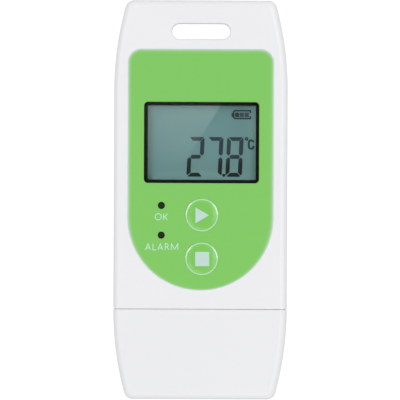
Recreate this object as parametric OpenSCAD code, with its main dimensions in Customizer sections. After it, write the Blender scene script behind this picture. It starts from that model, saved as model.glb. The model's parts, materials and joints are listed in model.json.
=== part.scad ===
// Pocket temperature data logger: a two-part case with a display under a bonded lens, two keys,
// a pull-off cap over its plug, and a coin cell behind a door that a coin turns.
// Lengths are in millimetres. The logger lies on its back: +Z leaves the front face and +Y points
// to the lanyard slot, so that the cap pulls off towards -Y.

/* [Case] */
// Length over the case and the cap
body_l = 100; // [98:0.5:108]
// Width at the waist
body_w = 43.5; // [43.5:0.5:50]
// Thickness from the back to the front face
body_t = 12; // [12:0.1:13.5]
// Width at each end, before its corners are rounded
end_w = 37; // [36:0.1:40.5]
// Length over which the sides curve in towards each end
taper_l = 22.5; // [18:0.5:25]
// Radius of the four corners seen from the front
corner_r = 2.2; // [2.1:0.1:4]
// Radius of the round along the front and back edges
edge_r = 1.9; // [1:0.1:2]
// Height of the seam between the front and rear covers
seam_z = 6; // [5.8:0.1:6.3]
// Thickness of the side and back walls
wall = 1.6; // [1.5:0.1:1.9]
// Thickness of the front wall
front_wall = 1.8; // [1.7:0.1:2]

/* [Lanyard slot] */
// Length of the slot from end to end
slot_l = 14.5; // [10:0.5:20]
// Width of the slot
slot_w = 3.7; // [3:0.1:5]
// Distance of the slot's middle from the top end
slot_drop = 7.8; // [6.5:0.1:8.2]
// Chamfer round the slot's two mouths
slot_chamfer = 0.3; // [0.1:0.1:0.5]
// Wall that surrounds the slot inside the case
slot_wall = 1.4; // [1:0.1:1.6]

/* [Cap] */
// Length of the cap along the logger
cap_l = 22.7; // [22:0.1:26]
// Wall of the cap
cap_wall = 1.5; // [1.2:0.1:1.6]
// Gap between the cap's mouth and the case
cap_gap = 0.2; // [0.1:0.05:0.5]
// Length of the neck that the cap slides over
neck_l = 4; // [3:0.1:5]
// Clearance between the neck and the cap
neck_gap = 0.15; // [0.1:0.05:0.25]
// Radius along the neck's edges
neck_r = 1.4; // [1:0.1:2]

/* [Faceplate] */
// Width of the coloured faceplate
plate_w = 36.3; // [35.5:0.1:38]
// Length of the faceplate, from its straight top to its round bottom
plate_l = 60.2; // [59:0.1:62]
// Distance of the faceplate's top from the top end
plate_drop = 12.35; // [11.5:0.05:13]
// Radius of the faceplate's two upper corners
plate_corner_r = 3.25; // [2:0.05:6]
// Thickness of the faceplate
plate_t = 0.3; // [0.2:0.05:0.4]
// Depth of the faceplate's surface below the front face
plate_sink = 0.05; // [0:0.01:0.15]
// Clearance round each edge of the faceplate
plate_gap = 0.1; // [0.05:0.05:0.2]

/* [Display] */
// Width of the clear part of the display window
window_w = 27.2; // [24:0.1:28]
// Height of the clear part of the display window
window_h = 18.7; // [16:0.1:19.5]
// Black border round the window
border_w = 0.8; // [0.5:0.05:1]
// Corner radius of the lens
lens_r = 1; // [0.6:0.1:2]
// Thickness of the lens
lens_t = 1; // [0.8:0.05:1.05]
// Distance of the window's middle below the faceplate's top
window_drop = 23.3; // [22.9:0.1:23.5]
// Offset of the window's middle from the centreline
window_x = 0.2; // [0:0.1:0.4]

/* [Keys] */
// Radius of the start and stop keys
key_r = 4.05; // [3:0.05:4.3]
// Clearance between a key and its hole
key_gap = 0.1; // [0.05:0.01:0.2]
// Rise of a key's rim above the front face
key_rise = 0.3; // [0.1:0.05:0.6]
// Travel of a key
key_travel = 0.3; // [0.15:0.05:0.3]
// Distance of the start key's middle below the faceplate's top
start_drop = 41.5; // [41.4:0.1:42.5]
// Distance between the two keys
key_pitch = 10.95; // [10.5:0.05:11.5]
// Offset of the keys from the centreline
key_x = 0.35; // [0:0.05:1]

/* [Indicator lights] */
// Radius of each light's window
light_r = 0.85; // [0.6:0.05:1.2]
// Offset of the lights from the centreline
light_x = -9.8; // [-10.3:0.1:-9]
// Distance of the upper light below the faceplate's top
ok_drop = 39.1; // [38.8:0.1:41]
// Distance between the two lights
light_pitch = 7.45; // [5:0.05:8]

/* [Circuit board] */
// Width of the circuit board
board_w = 35.2; // [34.5:0.1:36]
// Thickness of the circuit board
board_t = 1; // [0.8:0.1:1]

/* [Coin cell and its door] */
// Diameter of the coin cell
cell_d = 24.5; // [20:0.1:24.5]
// Thickness of the coin cell
cell_t = 5; // [3.2:0.1:5]
// Distance of the cell's middle from the top end
cell_y = 38; // [36:0.5:39]
// Radius of the door's disc
door_r = 15; // [14.8:0.05:15.1]
// Thickness of the door's disc
door_t = 1.15; // [1:0.05:1.2]
// Angle that the door turns from closed to open
door_turn = 45; // [35:1:60]

/* [Plug] */
// Width of the plug's metal shell
plug_w = 12; // [11.9:0.1:12.1]
// Height of the plug's metal shell
plug_h = 4.5; // [4.4:0.1:4.6]
// Length of the plug's metal shell
plug_l = 22.8; // [22.5:0.1:23.2]
// Thickness of the shell's sheet metal
sheet_t = 0.3; // [0.2:0.05:0.35]

/* [Screws] */
// Radius of a case screw's thread
case_screw_r = 0.9; // [0.7:0.05:1]
// Distance of the case screws from each side
case_screw_x = 5.1; // [4.9:0.1:5.5]
// Distance of the upper case screws from the top end
upper_screw_y = 17; // [16:0.1:17.5]
// Distance of the lower case screws from the case's end at the cap
lower_screw_y = 6.8; // [6.3:0.1:8.3]

/* [Hidden] */

// One overrun serves every cut, so that no cut ends on the face that it opens
overrun = 1;

// Smoothness of true arcs, and steps along each outline and edge round
$fn = 64;
taper_steps = 8;
corner_steps = 6;
round_steps = 6;
// Least radius that an inset corner keeps
least_r = 0.15;

// The case's outline: a big arc down each side, tangent to the straight waist
taper_in = (body_w - end_w) / 2;
taper_r = (taper_l * taper_l + taper_in * taper_in) / (2 * taper_in);
taper_y = body_l / 2 - taper_l;
taper_x = body_w / 2 - taper_r;
case_end_y = cap_l - body_l / 2;

// Seam: chamfer, tongue, rebate and the seal between them
seam_chamfer = 0.15;
lip_inset = 0.85;
lip_h = 0.9;
seam_seal_h = 0.5;
seam_gap = 0.05;
rebate_inset = lip_inset - seam_gap;
rebate_z = seam_z - lip_h - seam_seal_h;
front_inner_z = body_t - front_wall;
slot_y = body_l / 2 - slot_drop;
cell_pos = [0, body_l / 2 - cell_y];
case_screw_places = [
    for (sx = [-1, 1], y = [body_l / 2 - upper_screw_y, case_end_y + lower_screw_y])
        [sx * (body_w / 2 - case_screw_x), y]
];

// Faceplate and the lens that is bonded through it
plate_top_y = body_l / 2 - plate_drop;
plate_top_z = body_t - plate_sink;
plate_bottom_z = plate_top_z - plate_t;
tape_t = 0.2;
lens_gap = 0.05;
lens_size = [window_w + 2 * border_w, window_h + 2 * border_w];
lens_bottom_z = plate_top_z - lens_t;
ledge_z = lens_bottom_z - tape_t;
window_pos = [window_x, plate_top_y - window_drop];
light_gap = 0.05;
start_pos = [key_x, plate_top_y - start_drop];
stop_pos = [key_x, plate_top_y - start_drop - key_pitch];
ok_pos = [light_x, plate_top_y - ok_drop];
alarm_pos = [light_x, plate_top_y - ok_drop - light_pitch];

// Display: two glasses between a polariser and a reflector, clamped in a holder
film_t = 0.15;
glass_t = 0.7;
glass_margin = 1.4;
film_margin = 1;
contact_ledge = 2.6;
lcd_gap = 0.1;
lcd_top_z = front_inner_z - lcd_gap;
front_glass_z = lcd_top_z - film_t - glass_t;
rear_glass_z = front_glass_z - glass_t;
lcd_bottom_z = rear_glass_z - film_t;
rear_glass_size = [window_w + 2 * glass_margin, window_h + 2 * glass_margin];
front_glass_size = [rear_glass_size.x, rear_glass_size.y + contact_ledge];
front_glass_pos = [window_pos.x, window_pos.y + contact_ledge / 2];
film_size = [window_w + 2 * film_margin, window_h + 2 * film_margin];
holder_wall = 1;
holder_gap = 0.1;
holder_shelf = 1;
holder_r = 0.8;
holder_size = [for (side = front_glass_size) side + 2 * holder_wall + 2 * holder_gap];
peg_r = 0.6;
peg_gap = 0.05;
peg_tip = 0.3;
peg_pos = [for (side = holder_size) (side - holder_wall) / 2];
zebra_d = 1.6;
zebra_trim = 1;
zebra_size = [front_glass_size.x - 2 * zebra_trim, zebra_d];
zebra_pos = [window_pos.x, window_pos.y + (rear_glass_size.y + contact_ledge) / 2];

// Circuit board, hung from the front cover
lcd_standoff = 0.7;
board_top_z = lcd_bottom_z - lcd_standoff;
board_bottom_z = board_top_z - board_t;
board_gap = 0.3;
board_r = 1;
board_slot_gap = 2.4;
board_high_y = slot_y - slot_w / 2 - slot_wall - board_slot_gap;
board_screw_r = 0.7;
board_screw_head_r = 1.5;
board_screw_head_h = 0.9;
board_screw_gap = 0.2;
board_screw_end = 0.8;
board_boss_r = 1.8;
pilot_gap = 0.05;
boss_holder_gap = 0.9;
boss_edge_gap = [3.8, 1.6];
boss_key_drop = 3.15;
board_screw_upper = [
    board_w / 2 - boss_edge_gap[0] - board_boss_r,
    front_glass_pos.y + holder_size.y / 2 + boss_holder_gap + board_boss_r
];
board_screw_lower = [board_w / 2 - boss_edge_gap[1] - board_boss_r, start_pos.y - boss_key_drop];

// Case screws, driven from the back
case_boss_r = 2.3;
head_r = 1.75;
head_h = 1.3;
head_gap = 0.15;
head_seat_z = 2.4;
rear_boss_r = 2.8;
case_screw_end = 0.9;
case_screw_tip = 0.3;
drive_w = 0.45;
drive_l_share = 0.7;
drive_depth_share = 0.5;

// Keys and the switches below them
key_hole_r = key_r + key_gap;
key_dish = 0.12;
key_bead = 0.35;
key_round = 0.25;
flange_w = 0.85;
flange_r = key_r + flange_w;
flange_t = 0.8;
flange_gap = 0.1;
flange_top_z = front_inner_z - flange_gap;
flange_bottom_z = flange_top_z - flange_t;
switch_w = 5.2;
switch_gap = 0.1;
switch_top_z = flange_bottom_z - key_travel - switch_gap;
plunger_r = 1.2;
plunger_gap = 0.1;
plunger_root = 0.2;
plunger_well = plunger_root + key_travel + switch_gap;
leg_w = 0.6;
leg_t = 0.2;
leg_reach = 0.6;
led_size = [1.6, 0.8, 0.35];
led_dome_r = 0.35;
led_dome_h = 0.35;
pipe_flange_w = 0.65;
pipe_flange_r = light_r + pipe_flange_w;
pipe_flange_t = 0.7;
pipe_air = 0.5;
pipe_bottom_z = board_top_z + led_size.z + led_dome_h + pipe_air;

// Chips on the back of the board, placed by shares of half its width and of the field that
// lies between its lower edge and the coin cell's well
mcu_size = [7, 7, 1.4];
mcu_leads = 6;
memory_size = [4.9, 3.9, 1.5];
memory_leads = 4;
sensor_size = [2.9, 1.6, 1.1];
sensor_leads = 3;
chip_stand = 0.1;
lead_pitch = 1;
lead_w = 0.4;
lead_t = 0.15;
lead_reach = 0.7;
crystal_r = 1;
crystal_l = 6;
crystal_wire_r = 0.15;
crystal_wire_l = 1.8;
capacitor_size = [1.6, 0.8, 0.8];
resistor_size = [1.6, 0.8, 0.45];
mcu_place_share = [-0.2, 0.58];
memory_place_share = [0.38, 0.61];
crystal_place_share = [-0.6, 0.49];
sensor_place_share = [0.68, 0.61];
capacitor_row_share = 0.275;
capacitor_column_shares = [-0.5, -0.36, 0.3, 0.44];
resistor_row_share = 0.917;
resistor_column_shares = [-0.52, -0.26, 0, 0.26, 0.52];

// Coin cell, its contacts and the door that a coin turns
door_sink = 0.1;
door_gap = 0.15;
door_bevel = 0.2;
door_inner_z = door_sink + door_t;
cell_clear = 0.05;
cell_bottom_z = door_inner_z + cell_clear;
cell_top_z = cell_bottom_z + cell_t;
cell_round = 0.35;
cell_crimp_h = 0.6;
cell_crimp_w = 1;
cell_groove_w = 0.6;
cell_groove_d = 0.25;
cell_side_gap = 0.45;
skirt_in_r = cell_d / 2 + cell_side_gap;
skirt_t = 0.9;
skirt_r = skirt_in_r + skirt_t;
seal_h = 0.6;
seal_side_gap = 0.1;
well_lip_gap = 0.05;
well_lip_z = door_inner_z + seal_h + well_lip_gap;
well_lip_t = 0.9;
throat_gap = 0.5;
throat_r = skirt_r + throat_gap;
lug_r = door_r - seal_side_gap;
lug_z = well_lip_z + well_lip_t + well_lip_gap;
lug_h = 0.8;
lug_angle = 22;
lug_count = 3;
notch_slack = 2;
stop_angle = 3;
stop_slack = 1;
well_gap = 0.7;
well_r = lug_r + well_gap;
well_wall = 1.2;
well_board_gap = 0.4;
coin_slot_l = 14;
coin_slot_w = 1.8;
coin_slot_depth = 0.7;
mark_r = 0.6;
mark_depth = 0.3;
mark_inset = 2;
leaf_t = 0.15;
leaf_half_l = 9;
leaf_foot_l = 2.5;
leaf_pad_l = 1.5;
leaf_w = 3;
clip_t = 0.2;
clip_w = 4;
clip_foot_l = 3;
clip_drop = 2.4;
clip_gap = 0.03;

// Plug: shell, insulator with its tongue, and four contacts
plug_z = seam_z;
plug_tip_gap = 0.5;
plug_tip_y = cap_wall + plug_tip_gap - body_l / 2;
plug_rear_y = plug_tip_y + plug_l;
plug_r = 0.6;
plug_fit = 0.05;
latch_w = 2.3;
latch_l = 2;
latch_x = 2.95;
latch_from_tip = 5.1;
tab_w = 1.2;
tab_hold = 2.1;
tongue_setback = 0.4;
tongue_t = 1.9;
insulator_fit = 0.05;
insulator_block_l = 4;
contact_t = 0.25;
contact_w = 1;
contact_x = [-3.5, -1, 1, 3.5];
contact_setback = [1.2, 2.2, 2.2, 1.2];
contact_proud = 0.05;
contact_riser_l = 0.3;
contact_riser_from_rear = 2;
contact_foot_l = 2;
contact_cover_gap = 0.3;
contact_cover_past = 1.2;
contact_cover_x = max(contact_x) + contact_w / 2 + contact_cover_gap;
tongue_bottom_z = plug_z - plug_h / 2 + sheet_t + insulator_fit;
tongue_top_z = tongue_bottom_z + tongue_t;
contact_bottom_z = tongue_top_z - contact_t + contact_proud;
riser_y = plug_rear_y - contact_riser_from_rear;
plug_seal_rim = [1.5, 1.45];
plug_seal_w = plug_w + 2 * plug_seal_rim.x;
plug_seal_h = plug_h + 2 * plug_seal_rim.y;
plug_seal_t = 1;
plug_seal_gap = 0.05;
board_low_y = max(plug_rear_y, case_end_y + wall) + board_gap;
board_l = board_high_y - board_low_y;
tab_l = board_low_y - plug_rear_y + tab_hold;
chip_field_l = cell_pos.y - well_r - well_wall - board_low_y;

// Neck under the cap, with a groove for its ring seal
neck_end_y = case_end_y - neck_l;
neck_half_w = half_width(neck_end_y) - cap_wall - neck_gap;
neck_h = body_t - 2 * cap_wall - 2 * neck_gap;
ring_w = 1.4;
ring_depth = 0.5;
ring_proud = 0.08;
ring_gap = 0.05;
ring_from_end = 1.3;
cap_bevel = 0.6;

// Half the case's width at a distance from its middle
function half_width(y) =
    abs(y) <= taper_y ? body_w / 2 : taper_x + sqrt(pow(taper_r, 2) - pow(abs(y) - taper_y, 2));

// Quarter of the outline, from the side round to the end: the taper's arc, then the corner's
function quarter_outline(inset) =
    let (
        r = max(corner_r - inset, least_r),
        side_r = taper_r - inset,
        cy = body_l / 2 - inset - r,
        cx = taper_x + sqrt(pow(side_r - r, 2) - pow(cy - taper_y, 2)),
        meet = atan2(cy - taper_y, cx - taper_x)
    )
    concat(
        [for (i = [0 : taper_steps])
            let (a = meet * i / taper_steps)
            [taper_x + side_r * cos(a), taper_y + side_r * sin(a)]],
        [for (i = [1 : corner_steps])
            let (a = meet + (90 - meet) * i / corner_steps)
            [cx + r * cos(a), cy + r * sin(a)]]
    );

function reversed(points) = [for (i = [len(points) - 1 : -1 : 0]) points[i]];

function mirrored(points, sx, sy) = [for (p = points) [sx * p.x, sy * p.y]];

// The whole outline, moved in by an inset, anticlockwise from the right of the waist
function outline(inset) =
    let (q = quarter_outline(inset))
    concat(
        q,
        mirrored(reversed(q), -1, 1),
        mirrored(q, -1, -1),
        mirrored(reversed(q), 1, -1)
    );

// Levels [inset, height] of a round edge that ends at the front face, or at the back face
function front_round() =
    [for (i = [0 : round_steps])
        let (a = 90 * i / round_steps)
        [edge_r * (1 - cos(a)), body_t - edge_r * (1 - sin(a))]];

function back_round() = [for (level = reversed(front_round())) [level[0], body_t - level[1]]];

function board_place(share) = [share.x * board_w / 2, board_low_y + share.y * chip_field_l];

// Solid through outlines stacked at the given levels
module stacked(levels) {
    n = len(outline(0));
    last = len(levels) - 1;
    polyhedron(
        points = [for (level = levels, p = outline(level[0])) [p.x, p.y, level[1]]],
        faces = concat(
            [[for (i = [0 : n - 1]) i]],
            [[for (i = [n - 1 : -1 : 0]) last * n + i]],
            [for (k = [0 : last - 1], i = [0 : n - 1])
                let (j = (i + 1) % n)
                each [
                    [k * n + i, (k + 1) * n + i, (k + 1) * n + j],
                    [k * n + i, (k + 1) * n + j, k * n + j]
                ]]
        )
    );
}

// The case's side of the parting line, and the cap's side
module case_side() {
    translate([-body_w, case_end_y, -body_t])
        cube([2 * body_w, body_l, 3 * body_t]);
}

module cap_side() {
    translate([-body_w, case_end_y - cap_gap - body_l, -body_t])
        cube([2 * body_w, body_l, 3 * body_t]);
}

// Flat outline of the case without its cap, moved in by an inset on every side
module room(inset) {
    intersection() {
        polygon(outline(inset));
        translate([-body_w, case_end_y + inset])
            square([2 * body_w, body_l]);
    }
}

module rounded_rect(size, r) {
    square([size.x - 2 * r, size.y], center = true);
    square([size.x, size.y - 2 * r], center = true);
    for (sx = [-1, 1], sy = [-1, 1])
        translate([sx * (size.x / 2 - r), sy * (size.y / 2 - r)])
            circle(r);
}

// Flat shape in X and Z, extruded from y_high towards the cap
module along_y(y_high, length) {
    translate([0, y_high, 0])
        rotate([90, 0, 0])
            linear_extrude(length)
                children();
}

// Children at each case screw, or at each board screw
module at_case_screws() {
    for (p = case_screw_places)
        translate([p.x, p.y, 0])
            children();
}

module at_board_screws() {
    for (sx = [-1, 1], p = [board_screw_upper, board_screw_lower])
        translate([sx * p.x, p.y, 0])
            children();
}

module at_pegs() {
    for (sx = [-1, 1], sy = [-1, 1])
        translate([front_glass_pos.x + sx * peg_pos.x, front_glass_pos.y + sy * peg_pos.y, 0])
            children();
}

// Flat shape with round ends, from end to end along X
module stadium(length, width) {
    square([length - width, width], center = true);
    for (sx = [-1, 1])
        translate([sx * (length - width) / 2, 0])
            circle(d = width);
}

// Chamfered mouth of the lanyard slot, which opens upwards
module slot_mouth() {
    hull()
        for (sx = [-1, 1])
            translate([sx * (slot_l - slot_w) / 2, 0, -slot_chamfer])
                cylinder(r1 = slot_w / 2, r2 = slot_w / 2 + 2 * slot_chamfer, h = 2 * slot_chamfer, $fn = 32);
}

module lanyard_slot() {
    translate([0, slot_y, -overrun])
        linear_extrude(body_t + 2 * overrun)
            stadium(slot_l, slot_w);
    translate([0, slot_y, body_t])
        slot_mouth();
    translate([0, slot_y, 0])
        mirror([0, 0, 1])
            slot_mouth();
}

// Wall round the slot between two heights
module slot_collar(from_z, to_z) {
    translate([0, slot_y, from_z])
        linear_extrude(to_z - from_z)
            stadium(slot_l + 2 * slot_wall, slot_w + 2 * slot_wall);
}

// Part of the neck between two heights
module neck(from_z, to_z) {
    along_y(case_end_y + wall, wall + neck_l)
        intersection() {
            translate([0, body_t / 2])
                rounded_rect([2 * neck_half_w, neck_h], neck_r);
            translate([-body_w, from_z])
                square([2 * body_w, to_z - from_z]);
        }
}

// Section of a band round the neck, from so far inside its surface to so far outside
module neck_band(inside, outside) {
    translate([0, body_t / 2])
        difference() {
            rounded_rect([2 * (neck_half_w + outside), neck_h + 2 * outside], neck_r + outside);
            rounded_rect([2 * (neck_half_w - inside), neck_h - 2 * inside], neck_r - inside);
        }
}

module ring_groove() {
    along_y(neck_end_y + ring_from_end + ring_w, ring_w)
        neck_band(ring_depth, overrun);
}

// Way through the end wall and the neck for the plug, with a pocket for its seal
module plug_way() {
    along_y(case_end_y + wall + overrun, wall + neck_l + 2 * overrun)
        translate([0, plug_z])
            rounded_rect([plug_w + 2 * plug_fit, plug_h + 2 * plug_fit], plug_r + plug_fit);
    along_y(case_end_y + wall + overrun, plug_seal_t + plug_seal_gap + overrun)
        translate([0, plug_z])
            square([plug_seal_w + 2 * plug_seal_gap, plug_seal_h + 2 * plug_seal_gap], center = true);
}

module faceplate_outline(gap) {
    r = plate_w / 2 + gap;
    corner = plate_corner_r + gap;
    bottom_y = plate_top_y - plate_l + plate_w / 2;
    translate([0, bottom_y])
        circle(r, $fn = 128);
    translate([-r, bottom_y])
        square([2 * r, plate_top_y - plate_corner_r - bottom_y]);
    translate([-r + corner, bottom_y])
        square([2 * (r - corner), plate_top_y + gap - bottom_y]);
    for (sx = [-1, 1])
        translate([sx * (r - corner), plate_top_y - plate_corner_r])
            circle(corner);
}

module faceplate_pocket() {
    translate([0, 0, plate_bottom_z])
        linear_extrude(plate_t + plate_sink + overrun)
            faceplate_outline(plate_gap);
}

// Stepped opening: a pocket for the lens and its tape, then the clear window
module window_opening() {
    translate([window_pos.x, window_pos.y, ledge_z])
        linear_extrude(body_t - ledge_z + overrun)
            rounded_rect([for (side = lens_size) side + 2 * lens_gap], lens_r + lens_gap);
    translate([window_pos.x, window_pos.y, front_inner_z - overrun])
        linear_extrude(front_wall + 2 * overrun)
            square([window_w, window_h], center = true);
}

module front_holes() {
    for (p = [start_pos, stop_pos])
        translate([p.x, p.y, front_inner_z - overrun])
            cylinder(r = key_hole_r, h = front_wall + 2 * overrun);
    for (p = [ok_pos, alarm_pos])
        translate([p.x, p.y, front_inner_z - overrun])
            cylinder(r = light_r + light_gap, h = front_wall + 2 * overrun);
}

module front_shell() {
    difference() {
        intersection() {
            stacked(concat([[seam_chamfer, seam_z], [0, seam_z + seam_chamfer]], front_round()));
            case_side();
        }
        translate([0, 0, seam_z - overrun])
            linear_extrude(front_inner_z - seam_z + overrun)
                room(wall);
    }
}

// Tongue that drops into the rear cover's rebate and presses on the seam's seal
module seam_tongue() {
    translate([0, 0, seam_z - lip_h])
        linear_extrude(lip_h + wall)
            difference() {
                room(lip_inset);
                room(wall);
            }
}

module front_bosses() {
    at_case_screws()
        translate([0, 0, seam_z])
            cylinder(r = case_boss_r, h = front_inner_z - seam_z + front_wall / 2);
    at_board_screws()
        translate([0, 0, board_top_z])
            cylinder(r = board_boss_r, h = front_inner_z - board_top_z + front_wall / 2);
}

module front_pilots() {
    at_case_screws()
        translate([0, 0, seam_z - overrun])
            cylinder(r = case_screw_r + pilot_gap, h = front_inner_z - case_screw_end - seam_z + overrun);
    at_board_screws()
        translate([0, 0, board_top_z - overrun])
            cylinder(
                r = board_screw_r + pilot_gap,
                h = front_inner_z - board_screw_end - board_top_z + overrun
            );
}

module front_cover() {
    color("whitesmoke")
        difference() {
            union() {
                front_shell();
                seam_tongue();
                neck(seam_z, body_t);
                slot_collar(seam_z, front_inner_z + front_wall / 2);
                front_bosses();
            }
            lanyard_slot();
            faceplate_pocket();
            window_opening();
            front_holes();
            front_pilots();
            plug_way();
            ring_groove();
        }
}

module rear_shell() {
    difference() {
        union() {
            difference() {
                intersection() {
                    stacked(concat(back_round(), [[0, seam_z - seam_chamfer], [seam_chamfer, seam_z]]));
                    case_side();
                }
                translate([0, 0, wall])
                    linear_extrude(seam_z)
                        room(wall);
            }
            neck(0, seam_z);
        }
        translate([0, 0, rebate_z])
            linear_extrude(seam_z - rebate_z + overrun)
                room(rebate_inset);
    }
}

module at_cell() {
    translate([0, cell_pos.y, 0])
        children();
}

// Arc of a square section, centred on an angle, between two radii
module arc_block(centre, angle, r_in, r_out, from_z, height) {
    rotate([0, 0, centre - angle / 2])
        rotate_extrude(angle = angle)
            translate([r_in, from_z])
                square([r_out - r_in, height]);
}

// Angles of the door's lugs when it is closed
function lug_places() = [for (i = [0 : lug_count - 1]) 90 + 360 * i / lug_count];

// Stepped opening that the door closes, with notches that let its lugs through
module door_opening() {
    at_cell() {
        translate([0, 0, -overrun])
            cylinder(r = door_r + door_gap, h = well_lip_z + overrun);
        cylinder(r = throat_r, h = seam_z);
        translate([0, 0, well_lip_z + well_lip_t])
            cylinder(r = well_r, h = seam_z);
        for (a = lug_places())
            arc_block(
                a - door_turn, lug_angle + 2 * notch_slack,
                skirt_r, lug_r + door_gap, well_lip_z - well_lip_gap, well_lip_t + 2 * well_lip_gap
            );
    }
}

// Ribs that stop the lugs at each end of the door's turn
module door_stops() {
    at_cell()
        for (a = lug_places(), side = [0, 1])
            arc_block(
                a - side * door_turn + (1 - 2 * side) * (lug_angle / 2 + stop_slack + stop_angle / 2),
                stop_angle, throat_r + throat_gap, well_r + well_wall / 2,
                lug_z - well_lip_gap - well_lip_t / 2, lug_h + well_lip_t / 2
            );
}

module cell_well() {
    at_cell()
        translate([0, 0, wall / 2])
            cylinder(r = well_r + well_wall, h = board_bottom_z - well_board_gap - wall / 2);
}

module rear_screw_holes() {
    at_case_screws() {
        translate([0, 0, -overrun])
            cylinder(r = head_r + head_gap, h = head_seat_z + overrun);
        cylinder(r = case_screw_r + head_gap, h = seam_z + overrun);
    }
}

module rear_cover() {
    color("whitesmoke") {
        difference() {
            union() {
                rear_shell();
                slot_collar(wall / 2, seam_z);
                at_case_screws()
                    translate([0, 0, wall / 2])
                        cylinder(r = rear_boss_r, h = seam_z - wall / 2);
                cell_well();
            }
            lanyard_slot();
            door_opening();
            rear_screw_holes();
            plug_way();
            ring_groove();
        }
        door_stops();
    }
}

module case_seal() {
    color("dimgray")
        difference() {
            translate([0, 0, rebate_z])
                linear_extrude(seam_seal_h)
                    difference() {
                        room(lip_inset);
                        room(wall - seam_gap);
                    }
            translate([-plug_seal_w / 2 - plug_seal_gap, case_end_y - overrun, 0])
                cube([plug_seal_w + 2 * plug_seal_gap, wall + 2 * overrun, body_t]);
        }
}

// Cross recess in a screw head, cut upwards from its lowest face
module cross_recess(r, height) {
    for (turn = [0, 90])
        rotate([0, 0, turn])
            translate([0, 0, height * drive_depth_share / 2])
                cube([2 * r * drive_l_share, drive_w, height * drive_depth_share * 2], center = true);
}

module screw(r, head_r, head_h, length) {
    difference() {
        union() {
            cylinder(r = head_r, h = head_h);
            cylinder(r = r, h = head_h + length);
        }
        cross_recess(head_r, head_h);
    }
}

module case_screws() {
    color("silver")
        at_case_screws()
            translate([0, 0, head_seat_z - head_h])
                screw(
                    case_screw_r, head_r, head_h,
                    front_inner_z - case_screw_end - case_screw_tip - head_seat_z
                );
}

module faceplate() {
    color("yellowgreen")
        translate([0, 0, plate_bottom_z])
            linear_extrude(plate_t)
                difference() {
                    faceplate_outline(0);
                    translate(window_pos)
                        rounded_rect([for (side = lens_size) side + 2 * lens_gap], lens_r + lens_gap);
                    for (p = [start_pos, stop_pos])
                        translate(p)
                            circle(key_hole_r);
                    for (p = [ok_pos, alarm_pos])
                        translate(p)
                            circle(light_r + light_gap);
                }
}

module display_lens() {
    color("lightcyan", 0.4)
        translate([window_pos.x, window_pos.y, lens_bottom_z])
            linear_extrude(lens_t)
                rounded_rect(lens_size, lens_r);
}

// Black adhesive frame that bonds the lens and shows as its border
module lens_tape() {
    color("black")
        translate([window_pos.x, window_pos.y, ledge_z])
            linear_extrude(tape_t)
                difference() {
                    rounded_rect(lens_size, lens_r);
                    square([window_w, window_h], center = true);
                }
}

module light_pipe(p) {
    color("darkslategray")
        translate([p.x, p.y, 0]) {
            translate([0, 0, pipe_bottom_z])
                cylinder(r = light_r, h = plate_top_z - pipe_bottom_z);
            translate([0, 0, front_inner_z - pipe_flange_t])
                cylinder(r = pipe_flange_r, h = pipe_flange_t);
        }
}

module ok_light_pipe() {
    light_pipe(ok_pos);
}

module alarm_light_pipe() {
    light_pipe(alarm_pos);
}

// Dished key with a raised round rim, and a flange that holds it in the cover
module key(p) {
    rim_z = body_t + key_rise;
    bead_r = key_r - key_bead / 2;
    rim = [for (i = [0 : round_steps * 2])
        let (a = 180 * i / (round_steps * 2))
        [bead_r + cos(a) * key_bead / 2, rim_z - key_round + sin(a) * key_round]];
    translate([p.x, p.y, 0])
        rotate_extrude()
            polygon(concat(
                [
                    [0, flange_bottom_z], [flange_r, flange_bottom_z],
                    [flange_r, flange_top_z], [key_r, flange_top_z]
                ],
                rim,
                [[0, rim_z - key_round - key_dish]]
            ));
}

module start_key() {
    color("yellowgreen")
        key(start_pos);
}

module stop_key() {
    color("yellowgreen")
        key(stop_pos);
}

module glass_plate(p, size, from_z, thickness) {
    translate([p.x, p.y, from_z + thickness / 2])
        cube([size.x, size.y, thickness], center = true);
}

module lcd_front_polariser() {
    color("slategray", 0.4)
        glass_plate(window_pos, film_size, front_glass_z + glass_t, film_t);
}

module lcd_front_glass() {
    color("lightcyan", 0.4)
        glass_plate(front_glass_pos, front_glass_size, front_glass_z, glass_t);
}

module lcd_rear_glass() {
    color("lightcyan", 0.4)
        glass_plate(window_pos, rear_glass_size, rear_glass_z, glass_t);
}

module lcd_reflector() {
    color("cadetblue")
        glass_plate(window_pos, film_size, lcd_bottom_z, film_t);
}

// Frame with a pocket for each glass, a shelf under the rear one and a slot for the zebra strip
module lcd_holder() {
    rear_pocket = [for (side = rear_glass_size) side + 2 * holder_gap];
    front_pocket = [for (side = front_glass_size) side + 2 * holder_gap];
    shelf = [for (side = rear_glass_size) side - 2 * holder_shelf];
    zebra_slot = [for (side = zebra_size) side + 2 * holder_gap];
    height = lcd_top_z - board_top_z;
    color("gainsboro") {
        difference() {
            translate([front_glass_pos.x, front_glass_pos.y, board_top_z])
                linear_extrude(height)
                    rounded_rect(holder_size, holder_r);
            translate([0, 0, front_glass_z])
                glass_plate(front_glass_pos, front_pocket, 0, height);
            translate([0, 0, lcd_bottom_z])
                glass_plate(window_pos, rear_pocket, 0, height);
            glass_plate(window_pos, shelf, board_top_z - overrun, height);
            glass_plate(zebra_pos, zebra_slot, board_top_z - overrun, height + overrun);
        }
        at_pegs()
            translate([0, 0, board_bottom_z - peg_tip])
                cylinder(r = peg_r, h = board_t + peg_tip + holder_gap);
    }
}

module zebra_strip() {
    color("hotpink")
        glass_plate(zebra_pos, zebra_size, board_top_z, front_glass_z - board_top_z);
}

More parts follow.
